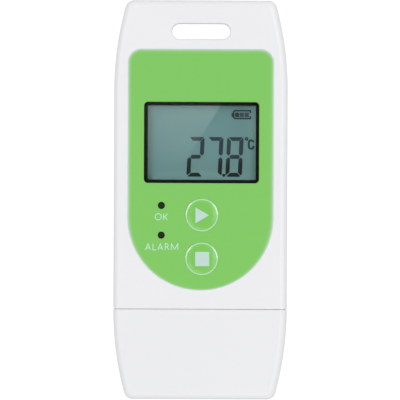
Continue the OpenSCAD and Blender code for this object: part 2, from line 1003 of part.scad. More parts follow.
module circuit_board() {
    color("seagreen")
        translate([0, 0, board_bottom_z])
            linear_extrude(board_t)
                difference() {
                    translate([0, board_low_y + board_l / 2])
                        rounded_rect([board_w, board_l], board_r);
                    for (p = case_screw_places)
                        translate(p)
                            circle(case_boss_r + board_gap);
                    for (sx = [-1, 1], p = [board_screw_upper, board_screw_lower])
                        translate([sx * p.x, p.y])
                            circle(board_screw_r + board_screw_gap);
                    for (sx = [-1, 1], sy = [-1, 1])
                        translate([front_glass_pos.x + sx * peg_pos.x, front_glass_pos.y + sy * peg_pos.y])
                            circle(peg_r + peg_gap);
                }
}

module board_screws() {
    color("silver")
        at_board_screws()
            translate([0, 0, board_bottom_z - board_screw_head_h])
                screw(
                    board_screw_r, board_screw_head_r, board_screw_head_h,
                    front_inner_z - 2 * board_screw_end - board_bottom_z
                );
}

// Square switch with four legs and a well that its plunger slides in
module key_switch(p) {
    height = switch_top_z - board_top_z;
    translate([p.x, p.y, board_top_z])
        difference() {
            union() {
                translate([0, 0, height / 2])
                    cube([switch_w, switch_w, height], center = true);
                for (sx = [-1, 1], sy = [-1, 1])
                    translate([sx * switch_w / 2, sy * (switch_w / 2 - leg_w), leg_t / 2])
                        cube([2 * leg_reach, leg_w, leg_t], center = true);
            }
            translate([0, 0, height - plunger_well])
                cylinder(r = plunger_r + plunger_gap, h = plunger_well + overrun);
        }
}

module start_switch() {
    color("dimgray")
        key_switch(start_pos);
}

module stop_switch() {
    color("dimgray")
        key_switch(stop_pos);
}

module plunger(p) {
    translate([p.x, p.y, switch_top_z - plunger_root])
        cylinder(r = plunger_r, h = flange_bottom_z - switch_top_z + plunger_root);
}

module start_plunger() {
    color("black")
        plunger(start_pos);
}

module stop_plunger() {
    color("black")
        plunger(stop_pos);
}

// Surface-mounted light: a base with a small round lens
module led(p) {
    translate([p.x, p.y, board_top_z]) {
        translate([0, 0, led_size.z / 2])
            cube(led_size, center = true);
        translate([0, 0, led_size.z / 2])
            cylinder(r = led_dome_r, h = led_dome_h + led_size.z / 2);
    }
}

module ok_led() {
    color("palegreen")
        led(ok_pos);
}

module alarm_led() {
    color("lightcoral")
        led(alarm_pos);
}

// Leads of a chip along one pair of its sides, flat against the board
module lead_rows(chip_w, count) {
    for (sx = [-1, 1], i = [0 : count - 1])
        translate([sx * (chip_w + lead_reach) / 2, (i - (count - 1) / 2) * lead_pitch, -lead_t / 2])
            cube([lead_reach + 2 * chip_stand, lead_w, lead_t], center = true);
}

// Moulded body of a chip, a little off the board on a smaller foot
module chip_body(size) {
    translate([0, 0, -(size.z + chip_stand) / 2])
        cube([size.x, size.y, size.z - chip_stand], center = true);
    translate([0, 0, -chip_stand])
        cube([size.x - 2 * chip_stand, size.y - 2 * chip_stand, 2 * chip_stand], center = true);
}

module at_board_back(place_share) {
    p = board_place(place_share);
    translate([p.x, p.y, board_bottom_z])
        children();
}

module microcontroller() {
    color("black")
        at_board_back(mcu_place_share) {
            chip_body(mcu_size);
            for (turn = [0, 90])
                rotate([0, 0, turn])
                    lead_rows(mcu_size.x, mcu_leads);
        }
}

module memory_chip() {
    color("black")
        at_board_back(memory_place_share) {
            chip_body(memory_size);
            lead_rows(memory_size.x, memory_leads);
        }
}

module temperature_sensor() {
    color("black")
        at_board_back(sensor_place_share) {
            chip_body(sensor_size);
            rotate([0, 0, 90])
                lead_rows(sensor_size.y, sensor_leads);
        }
}

// Can of the clock crystal, lying on the board, with two wires
module clock_crystal() {
    color("silver")
        at_board_back(crystal_place_share)
            translate([0, 0, -crystal_r]) {
                rotate([90, 0, 0])
                    cylinder(r = crystal_r, h = crystal_l, center = true);
                for (sx = [-1, 1])
                    translate([sx * crystal_r / 2, crystal_l / 2 + crystal_wire_l, 0])
                        rotate([90, 0, 0])
                            cylinder(r = crystal_wire_r, h = crystal_wire_l + crystal_wire_r);
            }
}

module row_of(size, row_share, column_shares) {
    for (column = column_shares)
        at_board_back([column, row_share])
            translate([0, 0, -size.z / 2])
                cube(size, center = true);
}

module chip_capacitors() {
    color("tan")
        row_of(capacitor_size, capacitor_row_share, capacitor_column_shares);
}

module chip_resistors() {
    color("black")
        row_of(resistor_size, resistor_row_share, resistor_column_shares);
}

// Coin cell, plain face down, with the crimped rim and the smaller pole on top
module coin_cell() {
    r = cell_d / 2;
    rim_z = cell_t - cell_crimp_h;
    pole_r = r - cell_crimp_w - cell_groove_w;
    color("silver")
        translate([0, cell_pos.y, cell_bottom_z])
            rotate_extrude()
                polygon([
                    [0, 0],
                    [r - cell_round, 0],
                    [r, cell_round],
                    [r, rim_z - cell_round],
                    [r - cell_round, rim_z],
                    [r - cell_crimp_w, rim_z],
                    [r - cell_crimp_w, rim_z - cell_groove_d],
                    [pole_r, rim_z - cell_groove_d],
                    [pole_r, cell_t - cell_round],
                    [pole_r - cell_round, cell_t],
                    [0, cell_t]
                ]);
}

// Clip under the board whose blade bears on the cell's rim
module positive_contact() {
    blade_x = -cell_d / 2 - clip_gap;
    color("gold")
        translate([0, cell_pos.y + clip_w / 2, 0])
            rotate([90, 0, 0])
                linear_extrude(clip_w)
                    polygon([
                        [blade_x, board_bottom_z - clip_drop],
                        [blade_x, board_bottom_z],
                        [blade_x - clip_foot_l, board_bottom_z],
                        [blade_x - clip_foot_l, board_bottom_z - clip_t],
                        [blade_x - clip_t, board_bottom_z - clip_t],
                        [blade_x - clip_t, board_bottom_z - clip_drop]
                    ]);
}

// Bowed leaf under the board that presses on the cell's pole
module negative_contact() {
    shoulder = leaf_half_l - leaf_foot_l;
    right = [
        [leaf_pad_l, cell_top_z],
        [shoulder, board_bottom_z - leaf_t],
        [leaf_half_l, board_bottom_z - leaf_t],
        [leaf_half_l, board_bottom_z],
        [shoulder, board_bottom_z],
        [leaf_pad_l, cell_top_z + leaf_t]
    ];
    color("gold")
        translate([0, cell_pos.y + leaf_w / 2, 0])
            rotate([90, 0, 0])
                linear_extrude(leaf_w)
                    polygon(concat(right, mirrored(reversed(right), -1, 1)));
}

// Disc with a skirt and three lugs, turned by a coin
module battery_door() {
    color("whitesmoke")
        at_cell()
            difference() {
                union() {
                    rotate_extrude()
                        polygon([
                            [0, door_sink],
                            [door_r - door_bevel, door_sink],
                            [door_r, door_sink + door_bevel],
                            [door_r, door_inner_z],
                            [skirt_r, door_inner_z],
                            [skirt_r, lug_z + lug_h],
                            [skirt_in_r, lug_z + lug_h],
                            [skirt_in_r, door_inner_z],
                            [0, door_inner_z]
                        ]);
                    for (a = lug_places())
                        arc_block(a, lug_angle, skirt_in_r + skirt_t / 2, lug_r, lug_z, lug_h);
                }
                translate([0, 0, door_sink - overrun])
                    linear_extrude(coin_slot_depth + overrun)
                        stadium(coin_slot_l, coin_slot_w);
                translate([0, door_r - mark_inset, door_sink - overrun])
                    cylinder(r = mark_r, h = mark_depth + overrun);
            }
}

module door_seal() {
    color("dimgray")
        at_cell()
            translate([0, 0, door_inner_z])
                difference() {
                    cylinder(r = door_r - seal_side_gap, h = seal_h);
                    translate([0, 0, -overrun])
                        cylinder(r = skirt_r + seal_side_gap, h = seal_h + 2 * overrun);
                }
}

// Sheet-metal shell with latch windows, two tabs soldered under the board, and its upper wall
// cut back at the rear, clear of the contacts
module plug_shell() {
    color("silver") {
        difference() {
            along_y(plug_rear_y, plug_l)
                translate([0, plug_z])
                    difference() {
                        rounded_rect([plug_w, plug_h], plug_r);
                        rounded_rect([plug_w - 2 * sheet_t, plug_h - 2 * sheet_t], plug_r - sheet_t);
                    }
            for (sx = [-1, 1])
                translate([sx * latch_x, plug_tip_y + latch_from_tip + latch_l / 2, plug_z])
                    cube([latch_w, latch_l, plug_h + 2 * overrun], center = true);
            translate([0, plug_rear_y, plug_z + plug_h / 2])
                cube(
                    [2 * contact_cover_x, 2 * (contact_riser_from_rear + contact_cover_past), plug_h],
                    center = true
                );
        }
        for (sx = [-1, 1]) {
            translate([sx * (plug_w - tab_w) / 2, plug_rear_y + tab_l / 2, board_bottom_z - sheet_t / 2])
                cube([tab_w, tab_l, sheet_t], center = true);
            translate([sx * (plug_w - sheet_t) / 2, plug_rear_y, board_bottom_z - sheet_t / 2])
                cube([sheet_t, 2 * sheet_t, sheet_t], center = true);
        }
    }
}

module plug_contacts() {
    color("gold")
        for (i = [0 : len(contact_x) - 1])
            translate([contact_x[i] - contact_w / 2, 0, 0])
                contact_strip(plug_tip_y + tongue_setback + contact_setback[i]);
}

// One contact: along the tongue, up inside the block, and out onto the board
module contact_strip(from_y) {
    translate([0, from_y, contact_bottom_z])
        cube([contact_w, riser_y - from_y, contact_t]);
    translate([0, riser_y - contact_riser_l, contact_bottom_z])
        cube([contact_w, contact_riser_l, board_top_z + contact_t - contact_bottom_z]);
    translate([0, riser_y - contact_riser_l, board_top_z])
        cube([contact_w, board_low_y + contact_foot_l - riser_y + contact_riser_l, contact_t]);
}

// Section of the insulator up to a height
module insulator_section(top_z) {
    inset = sheet_t + insulator_fit;
    intersection() {
        translate([0, plug_z])
            rounded_rect([plug_w - 2 * inset, plug_h - 2 * inset], plug_r - inset);
        translate([-plug_w / 2, top_z - plug_h])
            square([plug_w, plug_h]);
    }
}

// Tongue along the plug, and the block behind it that fills the shell
module plug_insulator() {
    color("white")
        difference() {
            union() {
                along_y(plug_rear_y, plug_l - tongue_setback)
                    insulator_section(tongue_top_z);
                along_y(plug_rear_y, insulator_block_l)
                    insulator_section(plug_z + plug_h);
            }
            plug_contacts();
        }
}

module plug_seal() {
    color("dimgray")
        along_y(case_end_y + wall, plug_seal_t)
            translate([0, plug_z])
                difference() {
                    square([plug_seal_w, plug_seal_h], center = true);
                    rounded_rect([plug_w + 2 * plug_fit, plug_h + 2 * plug_fit], plug_r + plug_fit);
                }
}

module cap_seal() {
    color("dimgray")
        along_y(neck_end_y + ring_from_end + ring_w - ring_gap, ring_w - 2 * ring_gap)
            neck_band(ring_depth - ring_gap, ring_proud);
}

// Hollow cap that follows the case's outline inside and out
module plug_cap() {
    color("whitesmoke")
        difference() {
            intersection() {
                stacked(concat(back_round(), front_round()));
                cap_side();
            }
            stacked([
                [cap_wall + cap_bevel, cap_wall],
                [cap_wall, cap_wall + cap_bevel],
                [cap_wall, body_t - cap_wall - cap_bevel],
                [cap_wall + cap_bevel, body_t - cap_wall]
            ]);
        }
}

front_cover();
rear_cover();
case_seal();
case_screws();
faceplate();
display_lens();
lens_tape();
ok_light_pipe();
alarm_light_pipe();
start_key();
stop_key();
lcd_front_polariser();
lcd_front_glass();
lcd_rear_glass();
lcd_reflector();
lcd_holder();
zebra_strip();
circuit_board();
board_screws();
start_switch();
stop_switch();
start_plunger();
stop_plunger();
ok_led();
alarm_led();
microcontroller();
memory_chip();
clock_crystal();
temperature_sensor();
chip_capacitors();
chip_resistors();
coin_cell();
positive_contact();
negative_contact();
battery_door();
door_seal();
plug_shell();
plug_insulator();
plug_contacts();
plug_seal();
cap_seal();
plug_cap();
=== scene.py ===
import json
import math

import bmesh
import bpy
from mathutils import Matrix, Vector
from mathutils.geometry import delaunay_2d_cdt


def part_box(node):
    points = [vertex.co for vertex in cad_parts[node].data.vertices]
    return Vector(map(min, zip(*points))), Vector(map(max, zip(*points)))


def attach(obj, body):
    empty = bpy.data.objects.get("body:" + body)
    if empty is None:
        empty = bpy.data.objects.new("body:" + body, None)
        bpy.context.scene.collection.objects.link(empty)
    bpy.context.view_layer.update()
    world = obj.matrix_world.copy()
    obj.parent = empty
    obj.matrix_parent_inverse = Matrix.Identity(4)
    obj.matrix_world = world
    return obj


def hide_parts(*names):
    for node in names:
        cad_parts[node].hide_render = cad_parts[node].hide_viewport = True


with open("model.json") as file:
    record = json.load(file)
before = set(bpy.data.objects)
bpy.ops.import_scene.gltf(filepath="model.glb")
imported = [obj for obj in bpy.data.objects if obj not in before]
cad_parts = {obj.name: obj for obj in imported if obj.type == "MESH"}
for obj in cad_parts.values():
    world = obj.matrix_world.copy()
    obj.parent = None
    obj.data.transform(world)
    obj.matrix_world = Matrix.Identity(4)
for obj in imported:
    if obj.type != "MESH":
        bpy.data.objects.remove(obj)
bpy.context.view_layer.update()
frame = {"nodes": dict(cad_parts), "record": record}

# Dresses the CAD solids of the temperature data logger. +X points to the right seen from the front,
# +Y along the logger to its lanyard slot and +Z out of its front face, as in the CAD source.
# Meshes are made in millimetres and scaled to metres when they are finished.
MM = 0.001

# Points on circles, and steps on the case's round and on a small one
SMALL_STEPS, MIDDLE_STEPS, LARGE_STEPS, FINE_STEPS, EDGE_STEPS, EASE_STEPS = 48, 64, 128, 160, 24, 5

# Heights that cutters reach to: past either face, and inside the case behind the front wall
OVER_Z, UNDER_Z, BEHIND_FRONT_Z = 13.0, -1.0, 9.0
PAST = 1.0  # how far other cutters stand out of what they cut
# Heights that joined pieces reach to, inside the front and the back wall
IN_FRONT_WALL_Z, IN_BACK_WALL_Z = 11.0, 0.8

# The case and its cap, as in the CAD source
BODY_W, BODY_L, BODY_T = 43.5, 100.0, 12.0
END_W, TAPER_L, CORNER_R, EDGE_R = 37.0, 22.5, 2.2, 1.9
SEAM_Z, SEAM_CHAMFER = 6.0, 0.15
WALL, FRONT_INNER_Z = 1.6, 10.2
CASE_END_Y, MOUTH_Y = -27.37, -27.43
CAP_WALL, CAP_BEVEL = 1.5, 0.6
TAPER_IN = (BODY_W - END_W) / 2
TAPER_R = (TAPER_L ** 2 + TAPER_IN ** 2) / (2 * TAPER_IN)
TAPER_Y = BODY_L / 2 - TAPER_L
TAPER_X = BODY_W / 2 - TAPER_R
LEAST_CORNER_R, LIP_PAST = 0.15, 0.01
CASE_LIP_R, CAP_LIP_R, ROOM_LIP_R, CAP_ROOM_LIP_R, CAP_ROOM_PAST = 0.22, 0.4, 0.3, 0.2, 3.0
TONGUE_INSET, TONGUE_Z, TONGUE_CUT_Z = 0.85, (5.1, 7.6), (4.0, 9.0)
REBATE_INSET, REBATE_Z = 0.8, 4.6

# What sits in the front face
SLOT_Y, SLOT_L, SLOT_W, SLOT_R, SLOT_DEPTH, SLOT_WALL = 42.2, 14.6, 3.88, 0.32, 0.6, 1.35
SLOT_FRONT_LOW_Z, SLOT_BACK_HIGH_Z = 4.0, 8.0
PLATE_W, PLATE_L, PLATE_TOP_Y, PLATE_R = 36.3, 60.2, 37.65, 3.25
PLATE_TOP_Z, PLATE_BOTTOM_Z, PLATE_GAP, PLATE_FIT = 11.95, 11.65, 0.1, 0.08
PLATE_EASE, PLATE_MOUTH_R, PLATE_CUT_Z = 0.06, 0.16, 11.0
WINDOW = (0.2, 14.35)
WINDOW_W, WINDOW_H, WINDOW_R, BORDER_W, LENS_R, LENS_GAP = 27.2, 18.7, 0.12, 0.8, 1.0, 0.05
LENS_W, LENS_H = WINDOW_W + 2 * BORDER_W, WINDOW_H + 2 * BORDER_W
LENS_BOTTOM_Z, LEDGE_Z = 10.95, 10.75
# The lens's lower bevel, and steps (inset, depth) of its eased upper edge
LENS_BEVEL, LENS_EASE = 0.05, ((0, 0.08), (0.02, 0.03), (0.08, 0))
# The tape's gap to the lens, how much narrower its opening is than the window, and its shift
TAPE_GAP, TAPE_IN, TAPE_SHIFT = 0.005, 0.12, (0.06, -0.03)
KEYS = {"Start": (0.35, -3.85), "Stop": (0.35, -14.8)}
LIGHTS = {"Ok": (-9.8, -1.45), "Alarm": (-9.8, -8.9)}
KEY_R, KEY_HOLE_R, KEY_OUT_R, KEY_RIM_R, KEY_FLAT_R = 4.05, 4.15, 4.12, 3.77, 1.9
KEY_TOP_Z, KEY_CROWN_Z, KEY_SHAFT_Z, KEY_HEAD_Z = 12.3, 12.285, 11.4, 11.5
KEY_FLANGE_R, KEY_FLANGE_Z, KEY_RIM_LOW_Z, KEY_MIDDLE_R = 4.9, (9.3, 10.1), 11.8, 1.3
KEY_BEND, KEY_SLOPE, KEY_EASE, ICON_DEPTH = 0.075, 0.38, 0.04, 0.06
START_ICON = [(-1.6, -2.04), (1.78, -0.03), (-1.6, 1.93)]
STOP_ICON = [(-1.62, -1.83), (1.9, -1.83), (1.9, 1.76), (-1.62, 1.76)]
LIGHT_R, LIGHT_MIDDLE_R, LIGHT_EASE, LIGHT_GAP = 0.85, 0.62, 0.1, 0.05
PIPE_LOW_Z, PIPE_FLANGE_R, PIPE_FLANGE_Z = 8.9, 1.5, (9.5, 10.2)
LEGEND_SINK, LEGEND_RISE, LEGEND_STROKE = 0.03, 0.015, 0.22
SEGMENT_Z, SEGMENT_T = 9.26, 0.02

# Neck, plug and screws
NECK_ROOT_Y, NECK_END_Y, NECK_HALF_W, NECK_HALF_H, NECK_R = -26.4, -31.3, 20.009, 4.35, 1.4
NECK_EASE, NECK_EASE_STEPS = 0.3, 4
NECK_KEEP, RING_BAND = (0, -29, 60, 12, 1), (30, 9, 1)
RING_Y, RING_W, RING_DEPTH = -30.0, 1.4, 0.5
PLUG_W, PLUG_H, PLUG_R, PLUG_WAY_Y = 12.1, 4.6, 0.65, (-33, -24.5)
SEAL_POCKET_Y, SEAL_POCKET_W, SEAL_POCKET_H, SEAL_POCKET_R = (-26.75, -24.7), 15.1, 7.5, 0.2
CASE_SCREWS = [(sx * 16.65, y) for sx in (-1, 1) for y in (33.0, -20.5)]
BOARD_SCREWS = [(sx * x, y) for sx in (-1, 1) for x, y in ((12.0, 31.5), (14.2, -7.0))]
HEAD_R, HEAD_SEAT_Z, HEAD_H, HEAD_EASE, HEAD_GAP = 1.75, 2.4, 1.3, 0.3, 0.15
SCREW_R, SCREW_GAP, SCREW_HOLE_GAP, SCREW_TIP_R, SCREW_TIP_Z = 0.9, 0.05, 0.15, 0.3, (8.9, 9.0)
THREAD_DEPTH, THREAD_START, THREAD_STEP, THREAD_STEPS = 0.16, 0.6, 0.4, 14
CROSS_L, CROSS_W, CROSS_R, CROSS_DEPTH = 2.4, 0.45, 0.1, 0.75
FRONT_BOSS_R, REAR_BOSS_R, CASE_PILOT_Z = 2.3, 2.8, (5, 9.3)
BOARD_BOSS_R, BOARD_BOSS_Z, BOARD_PILOT_R, BOARD_PILOT_Z = 1.8, 7.7, 0.75, (7, 9.4)

# Coin cell's door
CELL = (0.0, 12.0)
DOOR_R, DOOR_GAP, DOOR_SINK, DOOR_INNER_Z, DOOR_BEVEL, DOOR_SEAT_Z = 15.0, 0.15, 0.1, 1.25, 0.2, 1.9
SKIRT_R, SKIRT_IN_R, SKIRT_END_Z, THROAT_R = 13.6, 12.7, 3.65, 14.1
WELL_R, WELL_WALL, WELL_TOP_Z, WELL_FLOOR_Z = 15.6, 1.2, 6.3, 2.8
REAR_HOLE_Z, REAR_MOUTH_R = (1, 7), 0.12
COIN_L, COIN_W, COIN_DEPTH, COIN_MOUTH_R = 14, 1.8, 0.7, 0.15
MARK_IN, MARK_R, MARK_DEPTH, MARK_MOUTH_R = 2, 0.6, 0.3, 0.1


# Rings and solids


def arc(cx, cy, r, start, end, steps):
    """Points along an arc, both ends included, its angles in degrees."""
    angles = [math.radians(start + (end - start) * i / steps) for i in range(steps + 1)]
    return [(cx + r * math.cos(a), cy + r * math.sin(a)) for a in angles]


def rounding(steps, first=0):
    """Pairs (back, below) along a quarter round of radius 1, from its side to its top."""
    for i in range(first, steps + 1):
        a = math.pi / 2 * i / steps
        yield 1 - math.cos(a), 1 - math.sin(a)


def quarter(inset, from_y, taper_steps=28, corner_steps=14):
    """A quarter of the outline: the taper's arc from a place on the side, then the corner's."""
    r = max(CORNER_R - inset, LEAST_CORNER_R)
    side_r = TAPER_R - inset
    cy = BODY_L / 2 - inset - r
    cx = TAPER_X + math.sqrt((side_r - r) ** 2 - (cy - TAPER_Y) ** 2)
    first = math.degrees(math.asin(max(0.0, from_y - TAPER_Y) / side_r))
    meet = math.degrees(math.atan2(cy - TAPER_Y, cx - TAPER_X))
    side = arc(TAPER_X, TAPER_Y, side_r, first, meet, taper_steps)
    return side + arc(cx, cy, r, meet, 90, corner_steps)[1:]


def shell_ring(inset, z, end_y, end_inset, lip, way=1):
    """Outline of the case (way 1) or of the cap (way -1) at a height, with its parting end."""
    low = way * end_y + end_inset
    side = BODY_W / 2 - inset
    right = arc(side - lip, low + lip, lip, -90, 0, EASE_STEPS)
    right += quarter(inset, low + lip + LIP_PAST)
    points = right + [(-x, y) for x, y in reversed(right)]
    return [(x, way * y, z) for x, y in points]


def end_round(z, lip):
    """How far the parting end's rounded edge lies back at a height."""
    over = abs(z - BODY_T / 2) - (BODY_T / 2 - lip)
    return lip - math.sqrt(max(lip * lip - over * over, 0.0)) if over > 0 else 0.0


def round_levels():
    """Levels (inset, height) over the round to the front face."""
    return [(EDGE_R * back, BODY_T - EDGE_R * below) for back, below in rounding(EDGE_STEPS)]


def circle_ring(x, y, r, z, steps):
    return [(px, py, z) for px, py in arc(x, y, r, 0, 360, steps)[:-1]]


def box_ring(x, y, w, h, r, z, steps=8):
    points = []
    for sx, sy, start in ((1, 1, 0), (-1, 1, 90), (-1, -1, 180), (1, -1, 270)):
        points += arc(x + sx * (w / 2 - r), y + sy * (h / 2 - r), r, start, start + 90, steps)
    return [(px, py, z) for px, py in points]


def stadium_ring(x, y, length, width, z, steps=28):
    r, reach = width / 2, (length - width) / 2
    points = arc(x + reach, y, r, -90, 90, steps) + arc(x - reach, y, r, 90, 270, steps)
    return [(px, py, z) for px, py in points]


def plate_ring(gap, z):
    """Outline of the faceplate, straight at its top and round at its bottom."""
    r, corner = PLATE_W / 2 + gap, PLATE_R + gap
    bottom_y = PLATE_TOP_Y - PLATE_L + PLATE_W / 2
    corner_y = PLATE_TOP_Y - PLATE_R
    points = arc(0, bottom_y, r, 180, 360, 72)
    points += arc(r - corner, corner_y, corner, 0, 90, 14)
    points += arc(corner - r, corner_y, corner, 90, 180, 14)
    return [(px, py, z) for px, py in points]


def lens_ring(grow, z):
    """Outline of the display's lens, grown by a distance."""
    return box_ring(*WINDOW, LENS_W + 2 * grow, LENS_H + 2 * grow, LENS_R + grow, z)


def section_ring(y, half_w, half_h, r):
    """Rounded rectangle across the logger, at a place along it."""
    flat = box_ring(0, BODY_T / 2, 2 * half_w, 2 * half_h, r, 0)
    return [(px, y, pz) for px, pz, _ in flat]


def linked(name, data):
    """A new object in the scene, with its data."""
    obj = bpy.data.objects.new(name, data)
    bpy.context.scene.collection.objects.link(obj)
    return obj


def new_object(name, verts, faces):
    mesh = bpy.data.meshes.new(name)
    mesh.from_pydata(verts, [], faces)
    bm = bmesh.new()
    bm.from_mesh(mesh)
    bmesh.ops.recalc_face_normals(bm, faces=bm.faces)
    bm.to_mesh(mesh)
    bm.free()
    return linked(name, mesh)


def loft(rings):
    """Closed solid through rings of equally many points."""
    n = len(rings[0])
    verts = [p for ring in rings for p in ring]
    faces = [tuple(range(n)), tuple(range((len(rings) - 1) * n, len(rings) * n))]
    for k in range(len(rings) - 1):
        for i in range(n):
            j = (i + 1) % n
            faces.append((k * n + i, k * n + j, (k + 1) * n + j, (k + 1) * n + i))
    return new_object("loft", verts, faces)


def revolve(profile, x, y, steps):
    """Solid of revolution about a line along Z; the profile starts and ends on it."""
    verts, rings = [], []
    for r, z in profile:
        if r == 0:
            rings.append([len(verts)] * steps)
            verts.append((x, y, z))
        else:
            first = len(verts)
            rings.append(list(range(first, first + steps)))
            verts += circle_ring(x, y, r, z, steps)
    faces = []
    for a, b in zip(rings, rings[1:]):
        for i in range(steps):
            j = (i + 1) % steps
            face = []
            for v in (a[i], a[j], b[j], b[i]):
                if v not in face:
                    face.append(v)
            faces.append(tuple(face))
    return new_object("revolve", verts, faces)


def combine(base, others, operation):
    """Adds solids to a base, or takes them out of it, and removes them from the scene."""
    for other in others:
        m = base.modifiers.new("combine", "BOOLEAN")
        m.operation, m.solver, m.object = operation, "EXACT", other
    graph = bpy.context.evaluated_depsgraph_get()
    mesh = bpy.data.meshes.new_from_object(base.evaluated_get(graph))
    base.modifiers.clear()
    base.data = mesh
    for other in others:
        bpy.data.objects.remove(other)
    return base


def add(base, *others):
    return combine(base, others, "UNION")


def cut(base, *others):
    return combine(base, others, "DIFFERENCE")


def flat_solid(polygons, low_z, high_z, name):
    """Prism over the union of flat polygons."""
    points, faces = [], []
    for polygon in polygons:
        turns = zip(polygon, polygon[1:] + polygon[:1])
        if sum(ax * by - bx * ay for (ax, ay), (bx, by) in turns) < 0:
            polygon = polygon[::-1]
        faces.append(list(range(len(points), len(points) + len(polygon))))
        points += [Vector(p) for p in polygon]
    verts, _, tris, _, _, source = delaunay_2d_cdt(points, [], faces, 0, 1e-5, True)
    bm = bmesh.new()
    made = [bm.verts.new((v.x, v.y, high_z)) for v in verts]
    for tri, origin in zip(tris, source):
        if origin:
            bm.faces.new([made[i] for i in tri])
    bmesh.ops.delete(bm, geom=[v for v in bm.verts if not v.link_faces], context="VERTS")
    bmesh.ops.dissolve_limit(bm, angle_limit=0.01, verts=bm.verts, edges=bm.edges)
    bmesh.ops.recalc_face_normals(bm, faces=bm.faces)
    for f in bm.faces:
        if f.normal.z < 0:
            f.normal_flip()
    low = bmesh.ops.extrude_face_region(bm, geom=list(bm.faces))["geom"]
    for v in low:
        if isinstance(v, bmesh.types.BMVert):
            v.co.z = low_z
    bmesh.ops.recalc_face_normals(bm, faces=bm.faces)
    # The extrusion makes the sides in an order that changes from run to run
    for i, f in enumerate(sorted(bm.faces, key=lambda f: f.calc_center_median()[:])):
        f.index = i
    bm.faces.sort()
    mesh = bpy.data.meshes.new(name)
    bm.to_mesh(mesh)
    bm.free()
    return linked(name, mesh)


# Materials


def linear(red, green, blue):
    """Linear colour of an sRGB one given in 0 to 255."""
    parts = [c / 255 for c in (red, green, blue)]
    return [c / 12.92 if c <= 0.04045 else ((c + 0.055) / 1.055) ** 2.4 for c in parts] + [1.0]


class Nodes:
    """Short ways to make nodes in a tree. A value may be another node's output."""

    def __init__(self, tree):
        self.tree = tree

    def node(self, kind, **inputs):
        n = self.tree.nodes.new(kind)
        for name, value in inputs.items():
            self.feed(n.inputs[name.replace("_", " ")], value)
        return n

    def feed(self, socket, value):
        if isinstance(value, bpy.types.NodeSocket):
            self.tree.links.new(value, socket)
        else:
            socket.default_value = value

    def math(self, operation, *values):
        n = self.node("ShaderNodeMath")
        n.operation = operation
        for socket, value in zip(n.inputs, values):
            self.feed(socket, value)
        return n.outputs[0]

    def ranged(self, value, low, high, from_low=0.3, from_high=0.7):
        return self.node("ShaderNodeMapRange", Value=value, From_Min=from_low, From_Max=from_high,
                         To_Min=low, To_Max=high).outputs[0]


class Shader(Nodes):
    """A Principled material with noise on its colour, its roughness and its surface."""

    def __init__(self, name, colour, roughness, metallic=0.0, specular=0.5):
        self.material = bpy.data.materials.new(name)
        self.material.use_nodes = True
        super().__init__(self.material.node_tree)
        self.bsdf = self.tree.nodes["Principled BSDF"]
        self.output = self.tree.nodes["Material Output"]
        self.colour = colour
        self.set("Base Color", colour)
        self.set("Roughness", roughness)
        self.set("Metallic", metallic)
        self.set("Specular IOR Level", specular)
        self.coordinates = self.node("ShaderNodeTexCoord").outputs["Object"]

    def set(self, socket, value):
        self.bsdf.inputs[socket].default_value = value
        return self

    def surface(self, factor, first, second):
        """Gives the material a surface that is mixed from those of two nodes."""
        mix = self.node("ShaderNodeMixShader", Fac=factor)
        self.feed(mix.inputs[1], first.outputs[0])
        self.feed(mix.inputs[2], second.outputs[0])
        self.feed(self.output.inputs["Surface"], mix.outputs[0])

    def noise(self, scale, detail=3.0, stretch=None):
        place = self.coordinates
        if stretch:
            place = self.node("ShaderNodeMapping", Vector=place, Scale=stretch).outputs[0]
        return self.node("ShaderNodeTexNoise", Vector=place, Scale=scale, Detail=detail,
                         Roughness=0.55).outputs[0]

    def blend(self, factor, first, second):
        n = self.tree.nodes.new("ShaderNodeMix")
        n.data_type = "RGBA"
        self.feed(n.inputs["Factor"], factor)
        self.feed(n.inputs["A"], first)
        self.feed(n.inputs["B"], second)
        return n.outputs["Result"]

    def mottle(self, scale, amount, source=None):
        """Slight patches of a lighter and a darker tone, half mixed with a colour that varies."""
        dark = [c * (1 - amount) for c in self.colour[:3]] + [1.0]
        pale = [min(c * (1 + amount), 1.0) for c in self.colour[:3]] + [1.0]
        factor = self.ranged(self.noise(scale), 0, 1)
        mixed = self.blend(factor, dark, pale)
        if source is not None:
            mixed = self.blend(0.5, source, mixed)
        self.feed(self.bsdf.inputs["Base Color"], mixed)
        return self

    def gloss(self, scale, low, high, stretch=None):
        value = self.ranged(self.noise(scale, stretch=stretch), low, high)
        self.feed(self.bsdf.inputs["Roughness"], value)
        return self

    def grain(self, scale, depth, strength, stretch=None):
        height = self.noise(scale, 2.0, stretch)
        bump = self.node("ShaderNodeBump", Height=height, Distance=depth, Strength=strength)
        self.feed(self.bsdf.inputs["Normal"], bump.outputs[0])
        return self


# Scales of the noises are in cycles per metre, and depths of grain in metres


def moulded(name, colour, roughness, depth=0.000006):
    """Satin moulding with a fine spark-eroded texture."""
    s = Shader(name, colour, roughness)
    s.mottle(60, 0.006).gloss(900, roughness - 0.05, roughness + 0.05)
    return s.grain(5200, depth, 0.5).material


def steel(name, colour, roughness, stretch=(1, 1, 1)):
    s = Shader(name, colour, roughness, metallic=1.0)
    s.mottle(240, 0.03).gloss(1400, roughness - 0.04, roughness + 0.05, stretch)
    return s.grain(2600, 0.000001, 0.4, stretch).material


def clear(name, tint, gloss, roughness):
    """A clear sheet: what is behind it, tinted, with a share of gloss over it."""
    s = Shader(name, tint, roughness)
    s.surface(gloss, s.node("ShaderNodeBsdfTransparent", Color=tint),
              s.node("ShaderNodeBsdfGlossy", Roughness=roughness))
    s.tree.nodes.remove(s.bsdf)
    return s.material


